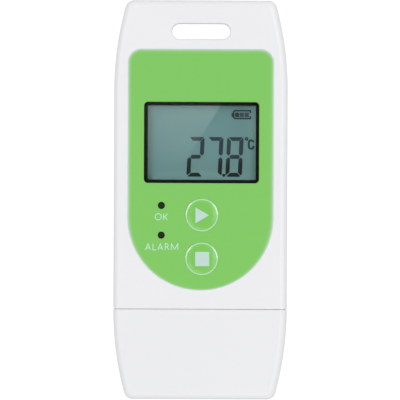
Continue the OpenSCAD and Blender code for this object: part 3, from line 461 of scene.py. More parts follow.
def graded(s, low_y, high_y, low_colour, high_colour):
    """Colour that changes along the logger, from one place in metres to another."""
    y = s.node("ShaderNodeSeparateXYZ", Vector=s.coordinates).outputs["Y"]
    return s.blend(s.ranged(y, 0, 1, low_y, high_y), low_colour, high_colour)


# The film's green at the faceplate's low and high end, the tone of its very edge, and how fast that
# fades: what is left of it after 1 mm, and how many times faster it fades round the low end
GREEN_LOW, GREEN_HIGH = linear(126.5, 201.5, 94.3), linear(124.2, 197.3, 92.3)
PALE_EDGE = linear(210, 224, 220)
PLATE_SPAN_Y = (-0.022, 0.038)
EDGE_FADE_PER_MM, EDGE_FADE_END, EDGE_FADE_END_Y = 0.02, 1.9, (-0.022, -0.01)


def plate_edge_fade(s):
    """Factor that falls with the distance from the faceplate's outline, faster round its end."""

    def length(first, second):
        pair = s.node("ShaderNodeCombineXYZ", X=first, Y=second).outputs[0]
        n = s.node("ShaderNodeVectorMath")
        n.operation = "LENGTH"
        s.feed(n.inputs[0], pair)
        return n.outputs["Value"]

    split = s.node("ShaderNodeSeparateXYZ", Vector=s.coordinates)
    x, y = split.outputs["X"], split.outputs["Y"]
    round_y = (PLATE_TOP_Y - PLATE_L + PLATE_W / 2) * MM
    below = s.math("MINIMUM", s.math("SUBTRACT", y, round_y), 0.0)
    side = s.math("SUBTRACT", (PLATE_W / 2 + PLATE_FIT) * MM, length(x, below))
    top = s.math("SUBTRACT", (PLATE_TOP_Y + PLATE_FIT) * MM, y)
    corner = (PLATE_R + PLATE_FIT) * MM
    reach = length(s.math("MAXIMUM", s.math("SUBTRACT", corner, side), 0.0),
                   s.math("MAXIMUM", s.math("SUBTRACT", corner, top), 0.0))
    inside = s.math("DIVIDE", s.math("SUBTRACT", corner, reach), MM)
    faster = s.ranged(y, EDGE_FADE_END, 1, *EDGE_FADE_END_Y)
    return s.math("POWER", EDGE_FADE_PER_MM, s.math("MULTIPLY", inside, faster))


def film_green(name, roughness, spread, edge=False):
    s = Shader(name, GREEN_HIGH, roughness)
    along = graded(s, *PLATE_SPAN_Y, GREEN_LOW, GREEN_HIGH)
    speck = s.ranged(s.noise(7000, 2), 0.0, 1.0)
    colour = s.blend(speck, along, GREEN_HIGH)
    if edge:
        colour = s.blend(plate_edge_fade(s), colour, PALE_EDGE)
    s.feed(s.bsdf.inputs["Base Color"], colour)
    s.gloss(1600, roughness - spread, roughness + spread)
    return s.grain(3800, 0.000004, 7 * spread).material


WHITE = moulded("case_white", [0.808, 0.812, 0.826, 1], 0.36)
CAP_WHITE = moulded("cap_white", [0.802, 0.807, 0.821, 1], 0.36)
GREEN = film_green("green_film", 0.36, 0.05, edge=True)
KEY_GREEN = film_green("key_green", 0.2, 0.02)


def build_rim():
    s = Shader("key_rim", linear(176, 222, 177), 0.16, specular=0.7)
    s.mottle(900, 0.02).gloss(1500, 0.1, 0.2)
    s.set("Coat Weight", 0.6).set("Coat Roughness", 0.08)
    return s.grain(2600, 0.000002, 0.3).material


def build_print(name, colour):
    s = Shader(name, colour, 0.4)
    s.mottle(2600, 0.02).gloss(1800, 0.34, 0.46)
    return s.grain(5200, 0.000003, 0.3).material


def build_black(name, colour, roughness, specular=0.5):
    s = Shader(name, colour, roughness, specular=specular)
    s.mottle(1200, 0.08).gloss(1500, roughness - 0.05, roughness + 0.05)
    return s.grain(3200, 0.000004, 0.4).material


def build_liquid():
    """The display's field, with painted light that makes it paler at its low and upper right edge,
    and painted shade that makes it browner at its left.
    """
    # How far the painted light reaches in from the low and the right edge, and the painted shade
    # from the left edge
    field, light_reach_low, light_reach_right, shade_reach_left = linear(115.5, 155, 155), 0.0036, 0.003, 0.002
    upper_y = (0.0125, 0.0155)
    s = Shader("liquid_crystal", field, 0.5, specular=0.2)
    split = s.node("ShaderNodeSeparateXYZ", Vector=s.coordinates)
    x, y = split.outputs["X"], split.outputs["Y"]
    left, right = ((WINDOW[0] + way * WINDOW_W / 2) * MM for way in (-1, 1))
    low = (WINDOW[1] - WINDOW_H / 2) * MM
    # Masks of the painted light at the low and the right edge, and of the painted shade at the left
    # edge
    painted_light_low = s.ranged(y, 1, 0, low, low + light_reach_low)
    painted_light_right = s.ranged(x, 0, 1, right - light_reach_right, right)
    upper = s.ranged(y, 0.28, 1, *upper_y)
    painted_shade_left = s.ranged(x, 1, 0, left, left + shade_reach_left)
    # The field is painted lighter at its low edge and its upper right edge, and painted darker and
    # browner at its left edge
    tone = s.blend(s.math("MULTIPLY", painted_light_low, painted_light_low), field, linear(160, 206, 202))
    painted_light_right = s.math("MULTIPLY", s.math("MULTIPLY", painted_light_right, painted_light_right), upper)
    tone = s.blend(painted_light_right, tone, linear(172, 212, 208))
    tone = s.blend(painted_shade_left, tone, linear(109, 139, 134))
    s.mottle(5200, 0.018, tone).gloss(2400, 0.45, 0.6)
    return s.grain(4200, 0.000003, 0.3).material


def build_segments():
    """Lit segments, browner in the lower half of the figures."""
    low, high, change_y = linear(37, 44, 42), linear(53, 68, 77), (0.0088, 0.0112)
    s = Shader("segments", high, 0.45, specular=0.2)
    s.feed(s.bsdf.inputs["Base Color"], graded(s, *change_y, low, high))
    s.gloss(1800, 0.4, 0.5)
    return s.grain(3600, 0.000002, 0.2).material


def build_board():
    """Solder mask over faint copper runs."""
    s = Shader("solder_mask", [0.02, 0.12, 0.05, 1], 0.32)
    runs = s.node("ShaderNodeTexBrick", Vector=s.coordinates, Scale=420.0)
    runs.inputs["Mortar Size"].default_value = 0.012
    runs.inputs["Color1"].default_value = (0.018, 0.11, 0.045, 1)
    runs.inputs["Color2"].default_value = (0.022, 0.13, 0.052, 1)
    runs.inputs["Mortar"].default_value = (0.05, 0.2, 0.09, 1)
    s.feed(s.bsdf.inputs["Base Color"], runs.outputs[0])
    s.gloss(1500, 0.26, 0.38)
    return s.grain(2400, 0.000005, 0.4).material


def build_zebra():
    """Layers of clear and carbon-filled silicone along the strip."""
    carbon, rubber = (0.03, 0.03, 0.03, 1), (0.75, 0.5, 0.5, 1)
    s = Shader("zebra", rubber, 0.5)
    wave = s.node("ShaderNodeTexWave", Vector=s.coordinates, Scale=1600.0)
    factor = s.ranged(wave.outputs[1], 0, 1, 0.4, 0.6)
    s.feed(s.bsdf.inputs["Base Color"], s.blend(factor, carbon, rubber))
    return s.gloss(1200, 0.4, 0.6).material


RIM = build_rim()
PRINT = build_print("legend_print", linear(186, 228, 198))
ICON = build_print("icon_print", linear(190, 215.5, 206.5))
BLACK = build_black("black_tape", linear(20, 25, 18), 0.5, 0.1)
SMOKE = build_black("smoked_pipe", linear(40, 48, 31), 0.14)
LIQUID = build_liquid()
SEGMENTS = build_segments()
DARK_CELL = build_print("dark_cell", linear(46, 52, 48))
FAINT_CELL = build_print("faint_cell", linear(62, 77, 81))
LENS = clear("clear_lens", [0.99, 0.995, 0.99, 1], 0.006, 0.02)
FILM = clear("polariser", [0.99, 0.995, 0.99, 1], 0.08, 0.006)
GLASS = clear("display_glass", [0.99, 0.995, 0.995, 1], 0.11, 0.008)
RUBBER = build_black("seal_rubber", [0.045, 0.045, 0.05, 1], 0.62, 0.3)
STEEL = steel("plug_steel", [0.7, 0.7, 0.71, 1], 0.26, (1, 0.08, 1))
SCREW = steel("screw_steel", [0.55, 0.55, 0.56, 1], 0.34)
GOLD = steel("gold_plating", [0.9, 0.66, 0.28, 1], 0.24)
BRASS = steel("spring_metal", [0.78, 0.62, 0.32, 1], 0.3)
CHIP = build_black("chip_epoxy", [0.02, 0.02, 0.022, 1], 0.5, 0.4)
SWITCH = build_black("switch_plastic", [0.018, 0.018, 0.02, 1], 0.42, 0.4)

BY_SLOT = {
    "case_plastic": WHITE,
    "cap_plastic": CAP_WHITE,
    "green_film": GREEN,
    "green_key": KEY_GREEN,
    "clear_lens": LENS,
    "black_tape": BLACK,
    "smoked_pipe": SMOKE,
    "polariser_film": FILM,
    "lcd_glass": GLASS,
    "reflector_film": steel("reflector", linear(104, 138, 134), 0.4),
    "holder_plastic": moulded("holder_natural", [0.72, 0.72, 0.68, 1], 0.5),
    "zebra_rubber": build_zebra(),
    "board_laminate": build_board(),
    "screw_steel": SCREW,
    "switch_plastic": SWITCH,
    "plunger_plastic": build_black("plunger_plastic", [0.012, 0.012, 0.012, 1], 0.36),
    "led_resin": moulded("led_resin", [0.78, 0.78, 0.66, 1], 0.2),
    "chip_epoxy": CHIP,
    "capacitor_ceramic": moulded("ceramic", [0.5, 0.34, 0.2, 1], 0.45, 0.00001),
    "can_metal": steel("can_metal", [0.66, 0.66, 0.67, 1], 0.3),
    "cell_steel": steel("cell_steel", [0.66, 0.66, 0.66, 1], 0.28),
    "contact_metal": BRASS,
    "gold_contact": GOLD,
    "shell_steel": STEEL,
    "white_insulator": moulded("insulator_white", [0.8, 0.8, 0.78, 1], 0.4),
    "seal_rubber": RUBBER,
}

for row in frame["record"]["subparts"]:
    node = frame["nodes"].get(row["node"])
    if node is not None:
        node.data.materials.clear()
        node.data.materials.append(BY_SLOT[row["material_slot"]])


# Pieces


MERGE, LEAST_EDGE = 2e-8, 1e-8  # in metres


def finished(obj, name, body, materials, nodes=(), angle=32):
    """Scales a mesh to metres, smooths it up to an angle, and fixes it to its body."""
    mesh = obj.data
    mesh.transform(Matrix.Scale(MM, 4))
    chosen = [p.material_index if len(materials) > 1 else 0 for p in mesh.polygons]
    mesh.materials.clear()
    for m in materials:
        mesh.materials.append(m)
    mesh.polygons.foreach_set("material_index", chosen)
    bm = bmesh.new()
    bm.from_mesh(mesh)
    bmesh.ops.remove_doubles(bm, verts=bm.verts, dist=MERGE)
    bmesh.ops.dissolve_degenerate(bm, edges=bm.edges, dist=LEAST_EDGE)
    bm.to_mesh(mesh)
    bm.free()
    mesh.polygons.foreach_set("use_smooth", [True] * len(mesh.polygons))
    mesh.set_sharp_from_angle(angle=math.radians(angle))
    m = obj.modifiers.new("weighted", "WEIGHTED_NORMAL")
    m.keep_sharp, m.weight = True, 90
    obj.name = name
    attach(obj, body)
    if nodes:
        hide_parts(*nodes)


def slot_cutter(low_z, high_z, mouth_z):
    """Cutter for the lanyard slot, with a rounded mouth at the front or the back."""
    up = 1 if 2 * mouth_z > low_z + high_z else -1
    start, end = (low_z, high_z) if up > 0 else (high_z, low_z)
    rings = [stadium_ring(0, SLOT_Y, SLOT_L, SLOT_W, start)]
    for back, below in rounding(8):
        grow = SLOT_R * back
        z = mouth_z - up * SLOT_DEPTH * below
        rings.append(stadium_ring(0, SLOT_Y, SLOT_L + 2 * grow, SLOT_W + 2 * grow, z))
    rings.append(stadium_ring(0, SLOT_Y, SLOT_L + 2 * SLOT_R, SLOT_W + 2 * SLOT_R, end))
    return loft(rings)


def slot_collar(low_z, high_z):
    size = SLOT_L + 2 * SLOT_WALL, SLOT_W + 2 * SLOT_WALL
    return loft([stadium_ring(0, SLOT_Y, *size, z) for z in (low_z, high_z)])


def mouth_cutter(ring_at, low_z, face_z, r):
    """Cutter whose rings are made by ring_at(grow, z), with a rounded mouth at a face."""
    rings = [ring_at(0, low_z)]
    rings += [ring_at(r * back, face_z - r * below) for back, below in rounding(EASE_STEPS)]
    rings.append(ring_at(r, face_z + PAST))
    return loft(rings)


def post(x, y, r, low_z, high_z, steps=SMALL_STEPS):
    return loft([circle_ring(x, y, r, z, steps) for z in (low_z, high_z)])


def room(inset, low_z, high_z):
    """The case's outline, moved inwards, between two heights."""
    return loft([shell_ring(inset, z, CASE_END_Y, inset, ROOM_LIP_R) for z in (low_z, high_z)])


def lens_cutter(low_z):
    return loft([lens_ring(LENS_GAP, z) for z in (low_z, OVER_Z)])


def key_and_light_cutters(low_z):
    keys = [post(*p, KEY_HOLE_R, low_z, OVER_Z, LARGE_STEPS) for p in KEYS.values()]
    return keys + [post(*p, LIGHT_R + LIGHT_GAP, low_z, OVER_Z) for p in LIGHTS.values()]


def neck_solid(low_z, high_z):
    """Part of the neck between two heights, with eased edges at its end."""
    rings = [section_ring(NECK_ROOT_Y, NECK_HALF_W, NECK_HALF_H, NECK_R)]
    for back, along in rounding(NECK_EASE_STEPS):
        back *= NECK_EASE
        rings.append(section_ring(
            NECK_END_Y + NECK_EASE * along, NECK_HALF_W - back, NECK_HALF_H - back, NECK_R - back
        ))
    neck = loft(rings)
    keep = loft([box_ring(*NECK_KEEP, z, 2) for z in (low_z, high_z)])
    return combine(neck, [keep], "INTERSECT")


def plug_cutters():
    """Cutters for the plug's way through the neck, its seal's pocket and the ring seal's groove."""
    way = loft([section_ring(y, PLUG_W / 2, PLUG_H / 2, PLUG_R) for y in PLUG_WAY_Y])
    half = SEAL_POCKET_W / 2, SEAL_POCKET_H / 2, SEAL_POCKET_R
    pocket = loft([section_ring(y, *half) for y in SEAL_POCKET_Y])
    inner = NECK_HALF_W - RING_DEPTH, NECK_HALF_H - RING_DEPTH, NECK_R - RING_DEPTH
    band = loft([section_ring(y, *RING_BAND) for y in (RING_Y, RING_Y + RING_W)])
    core = loft([section_ring(y, *inner) for y in (RING_Y - PAST, RING_Y + RING_W + PAST)])
    return way, pocket, cut(band, core)


def cover_shell(height_at):
    """The outside of a cover, from the seam's chamfer over the round to its face."""
    levels = [(SEAM_CHAMFER, SEAM_Z), (0.0, SEAM_Z + SEAM_CHAMFER)] + round_levels()
    return loft([
        shell_ring(inset, height_at(z), CASE_END_Y, end_round(z, CASE_LIP_R), CASE_LIP_R)
        for inset, z in levels
    ])


def build_front_cover():
    cover = cover_shell(lambda z: z)
    cut(cover, room(WALL, SEAM_Z - PAST, FRONT_INNER_Z))
    tongue = cut(room(TONGUE_INSET, *TONGUE_Z), room(WALL, *TONGUE_CUT_Z))
    solids = [tongue, slot_collar(SEAM_Z, IN_FRONT_WALL_Z), neck_solid(SEAM_Z, IN_FRONT_WALL_Z)]
    solids += [post(*p, FRONT_BOSS_R, SEAM_Z, IN_FRONT_WALL_Z) for p in CASE_SCREWS]
    solids += [post(*p, BOARD_BOSS_R, BOARD_BOSS_Z, IN_FRONT_WALL_Z) for p in BOARD_SCREWS]
    add(cover, *solids)
    x, y = WINDOW
    holes = [
        slot_cutter(SLOT_FRONT_LOW_Z, OVER_Z, BODY_T),
        mouth_cutter(lambda grow, z: plate_ring(PLATE_GAP + grow, z),
                     PLATE_BOTTOM_Z, BODY_T, PLATE_MOUTH_R),
        lens_cutter(LEDGE_Z),
        loft([box_ring(x, y, WINDOW_W, WINDOW_H, WINDOW_R, z) for z in (BEHIND_FRONT_Z, OVER_Z)]),
    ]
    holes += key_and_light_cutters(BEHIND_FRONT_Z)
    holes += [post(*p, SCREW_R + SCREW_GAP, *CASE_PILOT_Z) for p in CASE_SCREWS]
    holes += [post(*p, BOARD_PILOT_R, *BOARD_PILOT_Z) for p in BOARD_SCREWS]
    cut(cover, *holes, *plug_cutters())
    # The walls of the lens's recess and of the window are dark, like the border between them
    margin, steep = 0.1, 0.5
    for f in cover.data.polygons:
        c = f.center
        near = abs(c.x - x) < LENS_W / 2 + margin and abs(c.y - y) < LENS_H / 2 + margin
        wall = FRONT_INNER_Z < c.z < PLATE_BOTTOM_Z and abs(f.normal.z) < steep
        f.material_index = 1 if near and wall else 0
    finished(cover, "FrontCover", "case", [WHITE, BLACK], ["front_cover"])


def build_rear_cover():
    """The front cover's outside turned over, with the cell's well and the door's opening."""
    cover = cover_shell(lambda z: BODY_T - z)
    cut(cover, room(WALL, WALL, SEAM_Z + PAST))
    add(cover, neck_solid(IN_BACK_WALL_Z, SEAM_Z))
    cut(cover, room(REBATE_INSET, REBATE_Z, SEAM_Z + PAST))
    well = post(*CELL, WELL_R + WELL_WALL, IN_BACK_WALL_Z, WELL_TOP_Z, LARGE_STEPS)
    bosses = [post(*p, REAR_BOSS_R, IN_BACK_WALL_Z, SEAM_Z) for p in CASE_SCREWS]
    add(cover, slot_collar(IN_BACK_WALL_Z, SEAM_Z), well, *bosses)

    def back_hole(x, y, r, inner_z, steps):
        """Round hole from the back to a height, with a rounded mouth."""
        return mouth_cutter(lambda grow, z: circle_ring(x, y, r + grow, BODY_T - z, steps),
                            BODY_T - inner_z, BODY_T, REAR_MOUTH_R)

    holes = [
        slot_cutter(UNDER_Z, SLOT_BACK_HIGH_Z, 0),
        back_hole(*CELL, DOOR_R + DOOR_GAP, DOOR_SEAT_Z, FINE_STEPS),
        post(*CELL, THROAT_R, *REAR_HOLE_Z, LARGE_STEPS),
        post(*CELL, WELL_R, WELL_FLOOR_Z, REAR_HOLE_Z[1], LARGE_STEPS),
    ]
    for p in CASE_SCREWS:
        holes.append(back_hole(*p, HEAD_R + HEAD_GAP, HEAD_SEAT_Z, MIDDLE_STEPS))
        holes.append(post(*p, SCREW_R + SCREW_HOLE_GAP, *REAR_HOLE_Z))
    cut(cover, *holes, *plug_cutters())
    finished(cover, "RearCover", "case", [WHITE], ["rear_cover"])


def build_cap():
    front = round_levels()
    levels = [(s, BODY_T - z) for s, z in reversed(front)] + front
    cap = loft([
        shell_ring(s, z, MOUTH_Y, end_round(z, CAP_LIP_R), CAP_LIP_R, -1) for s, z in levels
    ])
    inner = [
        (CAP_WALL + CAP_BEVEL, CAP_WALL), (CAP_WALL, CAP_WALL + CAP_BEVEL),
        (CAP_WALL, BODY_T - CAP_WALL - CAP_BEVEL), (CAP_WALL + CAP_BEVEL, BODY_T - CAP_WALL),
    ]
    cut(cap, loft([
        shell_ring(s, z, MOUTH_Y + CAP_ROOM_PAST, 0, CAP_ROOM_LIP_R, -1) for s, z in inner
    ]))
    finished(cap, "PlugCap", "cap", [CAP_WHITE], ["plug_cap"])


def build_faceplate():
    rings = [plate_ring(PLATE_FIT, PLATE_BOTTOM_Z), plate_ring(PLATE_FIT, PLATE_TOP_Z - PLATE_EASE)]
    rings += [plate_ring(PLATE_FIT - PLATE_EASE * back, PLATE_TOP_Z - PLATE_EASE * below)
              for back, below in rounding(4, 1)]
    plate = loft(rings)
    cut(plate, lens_cutter(PLATE_CUT_Z), *key_and_light_cutters(PLATE_CUT_Z))
    finished(plate, "Faceplate", "case", [GREEN], ["faceplate"])


def build_lens():
    levels = [(LENS_BEVEL, LENS_BOTTOM_Z), (0, LENS_BOTTOM_Z + LENS_BEVEL)]
    levels += [(inset, PLATE_TOP_Z - depth) for inset, depth in LENS_EASE]
    lens = loft([lens_ring(-inset, z) for inset, z in levels])
    finished(lens, "DisplayLens", "case", [LENS], ["display_lens"])
    tape = loft([lens_ring(0, z) for z in (LEDGE_Z, LENS_BOTTOM_Z - TAPE_GAP)])
    x, y = (middle + shift for middle, shift in zip(WINDOW, TAPE_SHIFT))
    inside = WINDOW_W - TAPE_IN, WINDOW_H - TAPE_IN, WINDOW_R
    cut(tape, loft([box_ring(x, y, *inside, z) for z in (BEHIND_FRONT_Z, OVER_Z)]))
    finished(tape, "LensBorder", "case", [BLACK], ["lens_tape"])


def key_profile():
    """A key's section: a flat middle, a crown that falls to the rim, the shaft and its flange."""
    low_z, flange_z = KEY_FLANGE_Z
    points = [(0, low_z), (KEY_FLANGE_R, low_z), (KEY_FLANGE_R, flange_z), (KEY_R, flange_z),
              (KEY_R, KEY_SHAFT_Z), (KEY_OUT_R, KEY_HEAD_Z)]
    rim_z = KEY_CROWN_Z - KEY_BEND * (KEY_RIM_R - KEY_FLAT_R) ** 2
    run = KEY_OUT_R - KEY_EASE - KEY_RIM_R
    end_z = rim_z - KEY_SLOPE * run
    slope_steps, crown_steps = 5, 14
    points += [(KEY_OUT_R - KEY_EASE * back, end_z - KEY_EASE * below)
               for back, below in rounding(3)]
    for i in range(1, slope_steps + 1):
        points.append((KEY_OUT_R - KEY_EASE - run * i / slope_steps,
                       end_z + (rim_z - end_z) * i / slope_steps))
    for i in range(1, crown_steps + 1):
        over = (KEY_RIM_R - KEY_FLAT_R) * (1 - i / crown_steps)
        points.append((KEY_FLAT_R + over, KEY_CROWN_Z - KEY_BEND * over ** 2))
    return points + [(KEY_MIDDLE_R, KEY_CROWN_Z), (0, KEY_CROWN_Z)]


def build_key(name, icon):
    (x, y), body = KEYS[name], name.lower() + "_button"
    key = revolve(key_profile(), x, y, FINE_STEPS)
    for f in key.data.polygons:
        c = f.center
        rim = c.z > KEY_RIM_LOW_Z and math.hypot(c.x - x, c.y - y) > KEY_RIM_R
        f.material_index = 1 if rim else 0
    finished(key, name + "Key", body, [KEY_GREEN, RIM], [name.lower() + "_key"], 50)
    mark = flat_solid([[(x + px, y + py) for px, py in icon]],
                      KEY_CROWN_Z - ICON_DEPTH, KEY_TOP_Z, "icon")
    finished(mark, name + "Icon", body, [ICON])


def build_light_window(name):
    x, y = LIGHTS[name]
    low_z, high_z = PIPE_FLANGE_Z
    profile = [(0, PIPE_LOW_Z), (LIGHT_R, PIPE_LOW_Z), (LIGHT_R, low_z), (PIPE_FLANGE_R, low_z),
               (PIPE_FLANGE_R, high_z), (LIGHT_R, high_z)]
    profile += [(LIGHT_R - LIGHT_EASE * back, PLATE_TOP_Z - LIGHT_EASE * below)
                for back, below in rounding(EASE_STEPS)]
    profile += [(LIGHT_MIDDLE_R, PLATE_TOP_Z), (0, PLATE_TOP_Z)]
    pipe = revolve(profile, x, y, MIDDLE_STEPS)
    for f in pipe.data.polygons:
        c = f.center
        f.material_index = 1 if math.hypot(c.x - x, c.y - y) > LIGHT_MIDDLE_R else 0
    node = name.lower() + "_light_pipe"
    finished(pipe, name + "LightWindow", "case", [SMOKE, BLACK], [node])


def stroke(points, width, closed=False):
    """Flat strips along a line, with round joints."""
    line = list(points) + ([points[0]] if closed else [])
    strips = []
    for (ax, ay), (bx, by) in zip(line, line[1:]):
        run = math.hypot(bx - ax, by - ay)
        nx, ny = -(by - ay) / run * width / 2, (bx - ax) / run * width / 2
        strips.append([
            (ax - nx, ay - ny), (bx - nx, by - ny), (bx + nx, by + ny), (ax + nx, ay + ny)
        ])
    joints = line[1:-1] + ([line[0]] if closed else [])
    strips += [arc(px, py, width / 2, 0, 360, 12)[:-1] for px, py in joints]
    return strips


# Each letter is made of lines in a unit square; a line is closed or open
LETTERS = {
    "O": [(arc(0.5, 0.5, 0.5, 0, 360, 24)[:-1], True)],
    "K": [([(0, 0), (0, 1)], False), ([(1, 1), (0.3, 0.5), (1, 0)], False),
          ([(0.0, 0.5), (0.3, 0.5)], False)],
    "A": [([(0, 0), (0.5, 1), (1, 0)], False), ([(0.16, 0.3), (0.84, 0.3)], False)],
    "L": [([(0, 1), (0, 0), (1, 0)], False)],
    "R": [([(0, 0), (0, 1), (0.5, 1)] + arc(0.5, 0.74, 0.26, 60, -60, 6) + [(0.5, 0.48), (0, 0.48)],
           False), ([(0.45, 0.48), (1, 0)], False)],
    "M": [([(0, 0), (0.03, 1), (0.5, 0.12), (0.97, 1), (1, 0)], False)],
}


def build_legend(name, letters, low_y, high_y):
    """Raised print on the faceplate, from letters with their left and right ends."""
    polygons, width = [], LEGEND_STROKE
    for letter, left, right in letters:
        for points, closed in LETTERS[letter]:
            w, h = right - left - width, high_y - low_y - width
            placed = [(left + width / 2 + px * w, low_y + width / 2 + py * h) for px, py in points]
            polygons += stroke(placed, width, closed)
    text = flat_solid(polygons, PLATE_TOP_Z - LEGEND_SINK, PLATE_TOP_Z + LEGEND_RISE, name)
    finished(text, name, "case", [PRINT])


# The figures' height, lean, foot and left ends, the place and radius of the point and of the degree
# ring, and the C's left, right, bottom and top
DIGIT_H, DIGIT_LEAN, DIGIT_LOW_Y = 9.95, 0.05, 5.8
FIGURES = (("2", -3.34), ("7", 1.38), ("8", 6.42))
POINT = (5.82, 6.17, 0.4)
DEGREE, DEGREE_STROKE = (11.49, 15.33, 0.29), 0.34
CELSIUS, CELSIUS_STROKE = (12.04, 13.24, 12.86, 14.97), 0.5
SEGMENT_SHAPES = {
    "a": [(0.5, 9.95), (3.74, 9.95), (3.78, 9.82), (3.1, 9.0), (1.2, 9.0), (0.46, 9.82)],
    "b": [(3.76, 9.68), (4.0, 9.64), (4.1, 9.4), (4.12, 5.72), (3.68, 5.26), (3.1, 5.7),
          (3.07, 8.86)],
    "c": [(3.1, 4.42), (3.5, 4.8), (3.74, 4.8), (4.12, 4.38), (4.14, 0.62), (4.04, 0.43),
          (3.84, 0.42), (3.13, 1.06)],
    "d": [(0.36, 0.18), (0.54, 0.0), (3.62, 0.0), (3.78, 0.18), (3.0, 1.0), (1.14, 1.0)],
    "e": [(0.0, 4.42), (0.46, 4.8), (0.68, 4.8), (1.0, 4.5), (1.02, 1.14), (0.3, 0.48),
          (0.08, 0.45), (0.0, 0.6)],
    "f": [(0.0, 9.48), (0.1, 9.68), (0.36, 9.68), (0.97, 8.93), (0.97, 5.8), (0.58, 5.28),
          (0.0, 5.75)],
    "g": [(0.74, 5.0), (1.16, 5.5), (3.1, 5.5), (3.44, 5.06), (3.08, 4.5), (1.1, 4.5)],
}
DIGITS = {"2": "abged", "7": "abc", "8": "abcdefg"}
# The battery sign: an outline that is open at its right, a nub and three cells
BATTERY_OUTLINE = [(12.42, 21.78), (12.42, 22.39), (8.5, 22.39), (8.21, 22.1), (8.21, 20.72),
                   (8.5, 20.43), (12.42, 20.43), (12.42, 21.0)]
BATTERY_STROKE = 0.4
BATTERY_NUB = [(7.69, 20.82), (8.1, 20.82), (8.1, 21.84), (7.69, 21.84)]
BATTERY_CELL_Y, BATTERY_CELLS = (20.78, 21.92), ((8.56, 9.6), (9.72, 10.8), (10.96, 12.06))


def digit(which, left):
    """Lit segments of a seven-segment figure, leaning a little."""
    return [[(left + x + DIGIT_LEAN * (y - DIGIT_H / 2), DIGIT_LOW_Y + y)
             for x, y in SEGMENT_SHAPES[key]] for key in DIGITS[which]]


def build_display_glass():
    """The front glass with its polariser, over the liquid layer that its rear face shows."""
    (x0, y0, z0), (x1, y1, _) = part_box("lcd_front_glass")
    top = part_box("lcd_front_polariser")[1][2] / MM
    x, y, w, h = (x0 + x1) / 2 / MM, (y0 + y1) / 2 / MM, (x1 - x0) / MM, (y1 - y0) / MM
    lift, corner, bevel = 0.002, 0.2, 0.05
    bottom = z0 / MM + lift
    glass = loft([box_ring(x, y, w - 2 * inset, h - 2 * inset, corner, z, 3)
                  for inset, z in ((0, bottom), (0, top - bevel), (bevel, top))])
    for f in glass.data.polygons:
        f.material_index = 1 if f.center.z < bottom + lift / 2 else 0
    finished(glass, "DisplayGlass", "case", [GLASS, LIQUID],
             ["lcd_front_glass", "lcd_front_polariser"])


def build_segments_lit():
    shapes = [shape for figure in FIGURES for shape in digit(*figure)]
    shapes.append(arc(*POINT, 0, 360, 20)[:-1])
    shapes += stroke(arc(*DEGREE, 0, 360, 20)[:-1], DEGREE_STROKE, True)
    left, right, bottom, top = CELSIUS
    r, mid = (right - left) / 2, (left + right) / 2
    c_line = arc(mid, top - r, r, 10, 180, 9) + arc(mid, bottom + r, r, 180, 370, 9)
    shapes += stroke(c_line, CELSIUS_STROKE)
    shapes += stroke(BATTERY_OUTLINE, BATTERY_STROKE) + [BATTERY_NUB]
    low, high = BATTERY_CELL_Y
    cells = [[(left, low), (right, low), (right, high), (left, high)]
             for left, right in BATTERY_CELLS]
    for name, polygons, material in (
        ("DisplaySegments", shapes, SEGMENTS), ("BatteryCellFirst", cells[:1], DARK_CELL),
        ("BatteryCells", cells[1:], FAINT_CELL),
    ):
        lit = flat_solid(polygons, SEGMENT_Z, SEGMENT_Z + SEGMENT_T, name)
        finished(lit, name, "case", [material])


def build_door():
    cx, cy = CELL
    profile = [(0, DOOR_SINK)]
    profile += [(DOOR_R - DOOR_BEVEL * back, DOOR_SINK + DOOR_BEVEL * up)
                for up, back in rounding(EASE_STEPS)]
    profile += [(DOOR_R, DOOR_INNER_Z), (SKIRT_R, DOOR_INNER_Z), (SKIRT_R, SKIRT_END_Z),
                (SKIRT_IN_R, SKIRT_END_Z), (SKIRT_IN_R, DOOR_INNER_Z), (0, DOOR_INNER_Z)]
    door = revolve(profile, cx, cy, FINE_STEPS)
    face_z = BODY_T - DOOR_SINK
    coin = mouth_cutter(
        lambda grow, z: stadium_ring(cx, cy, COIN_L + 2 * grow, COIN_W + 2 * grow, BODY_T - z),
        face_z - COIN_DEPTH, face_z, COIN_MOUTH_R,
    )
    mark_y = cy + DOOR_R - MARK_IN
    mark = mouth_cutter(
        lambda grow, z: circle_ring(cx, mark_y, MARK_R + grow, BODY_T - z, SMALL_STEPS),
        face_z - MARK_DEPTH, face_z, MARK_MOUTH_R,
    )
    cut(door, coin, mark)
    finished(door, "BatteryDoor", "door", [WHITE], ["battery_door"])


def screw_profile(low):
    """Half a screw's section: a domed head, a threaded shank and a tip."""
    profile = [(0, low)]
    profile += [(HEAD_R - HEAD_EASE * back, low + HEAD_EASE * up)
                for up, back in rounding(EASE_STEPS)]
    profile += [(HEAD_R, HEAD_SEAT_Z), (SCREW_R, HEAD_SEAT_Z)]
    for i in range(THREAD_STEPS):
        profile.append((SCREW_R - (THREAD_DEPTH if i % 2 else 0),
                        HEAD_SEAT_Z + THREAD_START + i * THREAD_STEP))
    return profile + [(SCREW_TIP_R, SCREW_TIP_Z[0]), (0, SCREW_TIP_Z[1])]


def build_case_screws():
    solids = []
    low = HEAD_SEAT_Z - HEAD_H
    for x, y in CASE_SCREWS:
        arms = [loft([box_ring(x, y, w, h, CROSS_R, z, 2) for z in (low - PAST, low + CROSS_DEPTH)])
                for w, h in ((CROSS_L, CROSS_W), (CROSS_W, CROSS_L))]
        solids.append(cut(revolve(screw_profile(low), x, y, SMALL_STEPS), *arms))
    for other in solids[1:]:
        with bpy.context.temp_override(
            active_object=solids[0], selected_editable_objects=[solids[0], other]
        ):
            bpy.ops.object.join()
    finished(solids[0], "CaseScrews", "case", [SCREW], ["case_screws"])


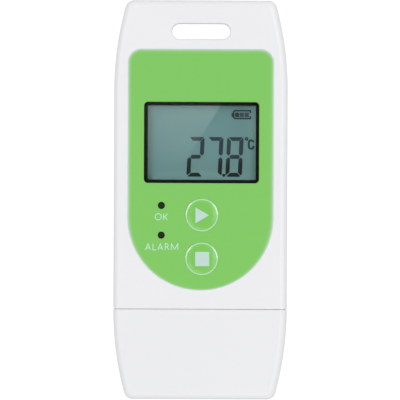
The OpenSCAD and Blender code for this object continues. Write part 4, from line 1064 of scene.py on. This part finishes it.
build_front_cover()
build_rear_cover()
build_cap()
build_faceplate()
build_lens()
build_key("Start", START_ICON)
build_key("Stop", STOP_ICON)
build_light_window("Ok")
build_light_window("Alarm")
build_legend("LegendOk", [("O", -11.46, -9.7), ("K", -9.36, -8.16)], -5.2, -3.4)
build_legend("LegendAlarm", [("A", -13.84, -12.36), ("L", -11.98, -10.98), ("A", -10.76, -9.28),
                             ("R", -8.92, -7.72), ("M", -7.38, -5.5)], -12.72, -10.92)
build_display_glass()
build_segments_lit()
build_door()
build_case_screws()


# Floor, light and camera


# The floor lies just under the logger. It isn't centred, so that its diagonal misses the logger.
FLOOR_CORNERS, FLOOR_Z = ((-6, -7), (6, -7), (6, 5), (-6, 5)), -0.0001
FLOOR_GLOW, FLOOR_SEEN = 0.62, 1.02


def build_floor():
    mesh = bpy.data.meshes.new("Floor")
    mesh.from_pydata([(x, y, FLOOR_Z) for x, y in FLOOR_CORNERS], [], [(0, 1, 2, 3)])
    s = Shader("floor_pale", [0.08, 0.08, 0.08, 1], 0.9, specular=0.0)
    s.set("Emission Color", (1, 1, 1, 1))
    seen = s.node("ShaderNodeLightPath").outputs["Is Camera Ray"]
    s.feed(s.bsdf.inputs["Emission Strength"], s.ranged(seen, FLOOR_GLOW, FLOOR_SEEN, 0, 1))
    # Seen from below it is clear, so that the logger's back shows
    under = s.node("ShaderNodeNewGeometry").outputs["Backfacing"]
    s.surface(under, s.bsdf, s.node("ShaderNodeBsdfTransparent"))
    mesh.materials.append(s.material)
    linked("Floor", mesh)


def build_world(low, high, lean):
    """A white studio, dimmer at the horizon than overhead and past the logger's top end, and plain
    white to the camera."""
    world = bpy.data.worlds.new("studio")
    bpy.context.scene.world = world
    world.use_nodes = True
    n = Nodes(world.node_tree)
    back = n.tree.nodes["Background"]
    n.feed(back.inputs["Color"], (1, 1, 1, 1))
    way = n.node("ShaderNodeTexCoord").outputs["Generated"]
    split = n.node("ShaderNodeSeparateXYZ", Vector=way)
    rise = n.ranged(split.outputs["Z"], low, high, 0, 1)
    tilted = n.math("MULTIPLY_ADD", split.outputs["Y"], lean, rise)
    seen = n.node("ShaderNodeLightPath").outputs["Is Camera Ray"]
    n.feed(back.inputs["Strength"], n.ranged(seen, tilted, 1.0, 0, 1))


def faced(place, side, back):
    """Place and turn of a lamp or a camera, with its X along side and its Z along back."""
    turn = Matrix((side, back.cross(side), back)).transposed().to_4x4()
    return Matrix.Translation(place) @ turn


# Soft panels: name, place, size, radiance, and the direction that their length is laid along
SOFTBOXES = (
    ("KeyLeft", (-0.84, 0.62, 1.15), (0.42, 0.2), 6, (0.62, 0.84, 0)),
    ("KeyRight", (0.79, 0.34, 1.17), (0.72, 0.36), 3.6, (-0.4, 0.9, 0)),
    ("SheenRight", (0.6, 0.06, 1.5), (0.6, 0.34), 1.9, (0, 1, 0)),
    ("SheenLow", (-0.42, -0.53, 1.5), (0.7, 0.3), 1.9, (-0.53, 0.42, 0)),
    ("Low", (0.0, -1.7, 0.8), (1.6, 0.6), 0.5, (1, 0, 0)),
    ("High", (0.0, 1.9, 0.45), (1.6, 0.5), 1.2, (1, 0, 0)),
    ("SheenLeft", (-1.02, 0.2, 1.15), (0.4, 0.26), 2.3, (0.2, 1.0, 0)),
)


def softbox(name, place, size, radiance, along):
    """A soft panel that faces the logger, its length laid along a direction."""
    light = bpy.data.lights.new(name, "AREA")
    light.shape = "RECTANGLE"
    light.size, light.size_y = size
    light.energy = radiance * math.pi * size[0] * size[1]
    back = Vector(place).normalized()
    side = Vector(along)
    side = (side - back * side.dot(back)).normalized()
    linked(name, light).matrix_world = faced(place, side, back)


CAMERA_DISTANCE = 3.6
FRAME_MM, SENSOR_MM = 100.4, 36.0
ROLL = math.radians(0.25)
TARGET = Vector((-0.000125, -0.00005, 0.006))


def card(name, corners, height, strength=None):
    """A card above the logger that only gloss sees, given by what it covers in the mirror."""
    scale = 1 + height / CAMERA_DISTANCE
    spots = [Vector((x * MM, y * MM)) * scale for x, y in corners]
    mesh = bpy.data.meshes.new(name)
    top = height + PLATE_TOP_Z * MM
    mesh.from_pydata([(p.x, p.y, top) for p in spots], [], [tuple(range(len(spots)))])
    obj = linked(name, mesh)
    s = Shader(name, [0, 0, 0, 1], 1.0, specular=0.0)
    if strength:
        y = s.node("ShaderNodeSeparateXYZ", Vector=s.coordinates).outputs["Y"]
        low, high = min(p.y for p in spots), max(p.y for p in spots)
        s.set("Emission Color", (1, 1, 1, 1))
        s.feed(s.bsdf.inputs["Emission Strength"], s.ranged(y, 0, strength, low, high))
    mesh.materials.append(s.material)
    obj.visible_camera = obj.visible_diffuse = obj.visible_shadow = False
    obj.visible_transmission = False


def build_camera():
    """A long lens straight over the logger."""
    data = bpy.data.cameras.new("Camera")
    data.lens = SENSOR_MM * CAMERA_DISTANCE / (FRAME_MM * MM)
    data.clip_start, data.clip_end = 0.1, 100
    camera = linked("Camera", data)
    back = Vector((0, 0, 1))
    side = Vector((math.cos(ROLL), math.sin(ROLL), 0))
    camera.matrix_world = faced(TARGET + back * CAMERA_DISTANCE, side, back)
    bpy.context.scene.camera = camera


build_floor()
build_world(0.646, 0.837, -0.114)
for box in SOFTBOXES:
    softbox(*box)
build_camera()
card("DarkCeiling", [(-88, -115), (88, -115), (88, 115), (-88, 115)], 0.31)
card("GlareCard", [(-16, 25), (5.84, 25), (-6.0, 6.3), (-16, 6.3)], 0.3, 0.88)
bpy.context.scene.view_settings.view_transform = "Standard"
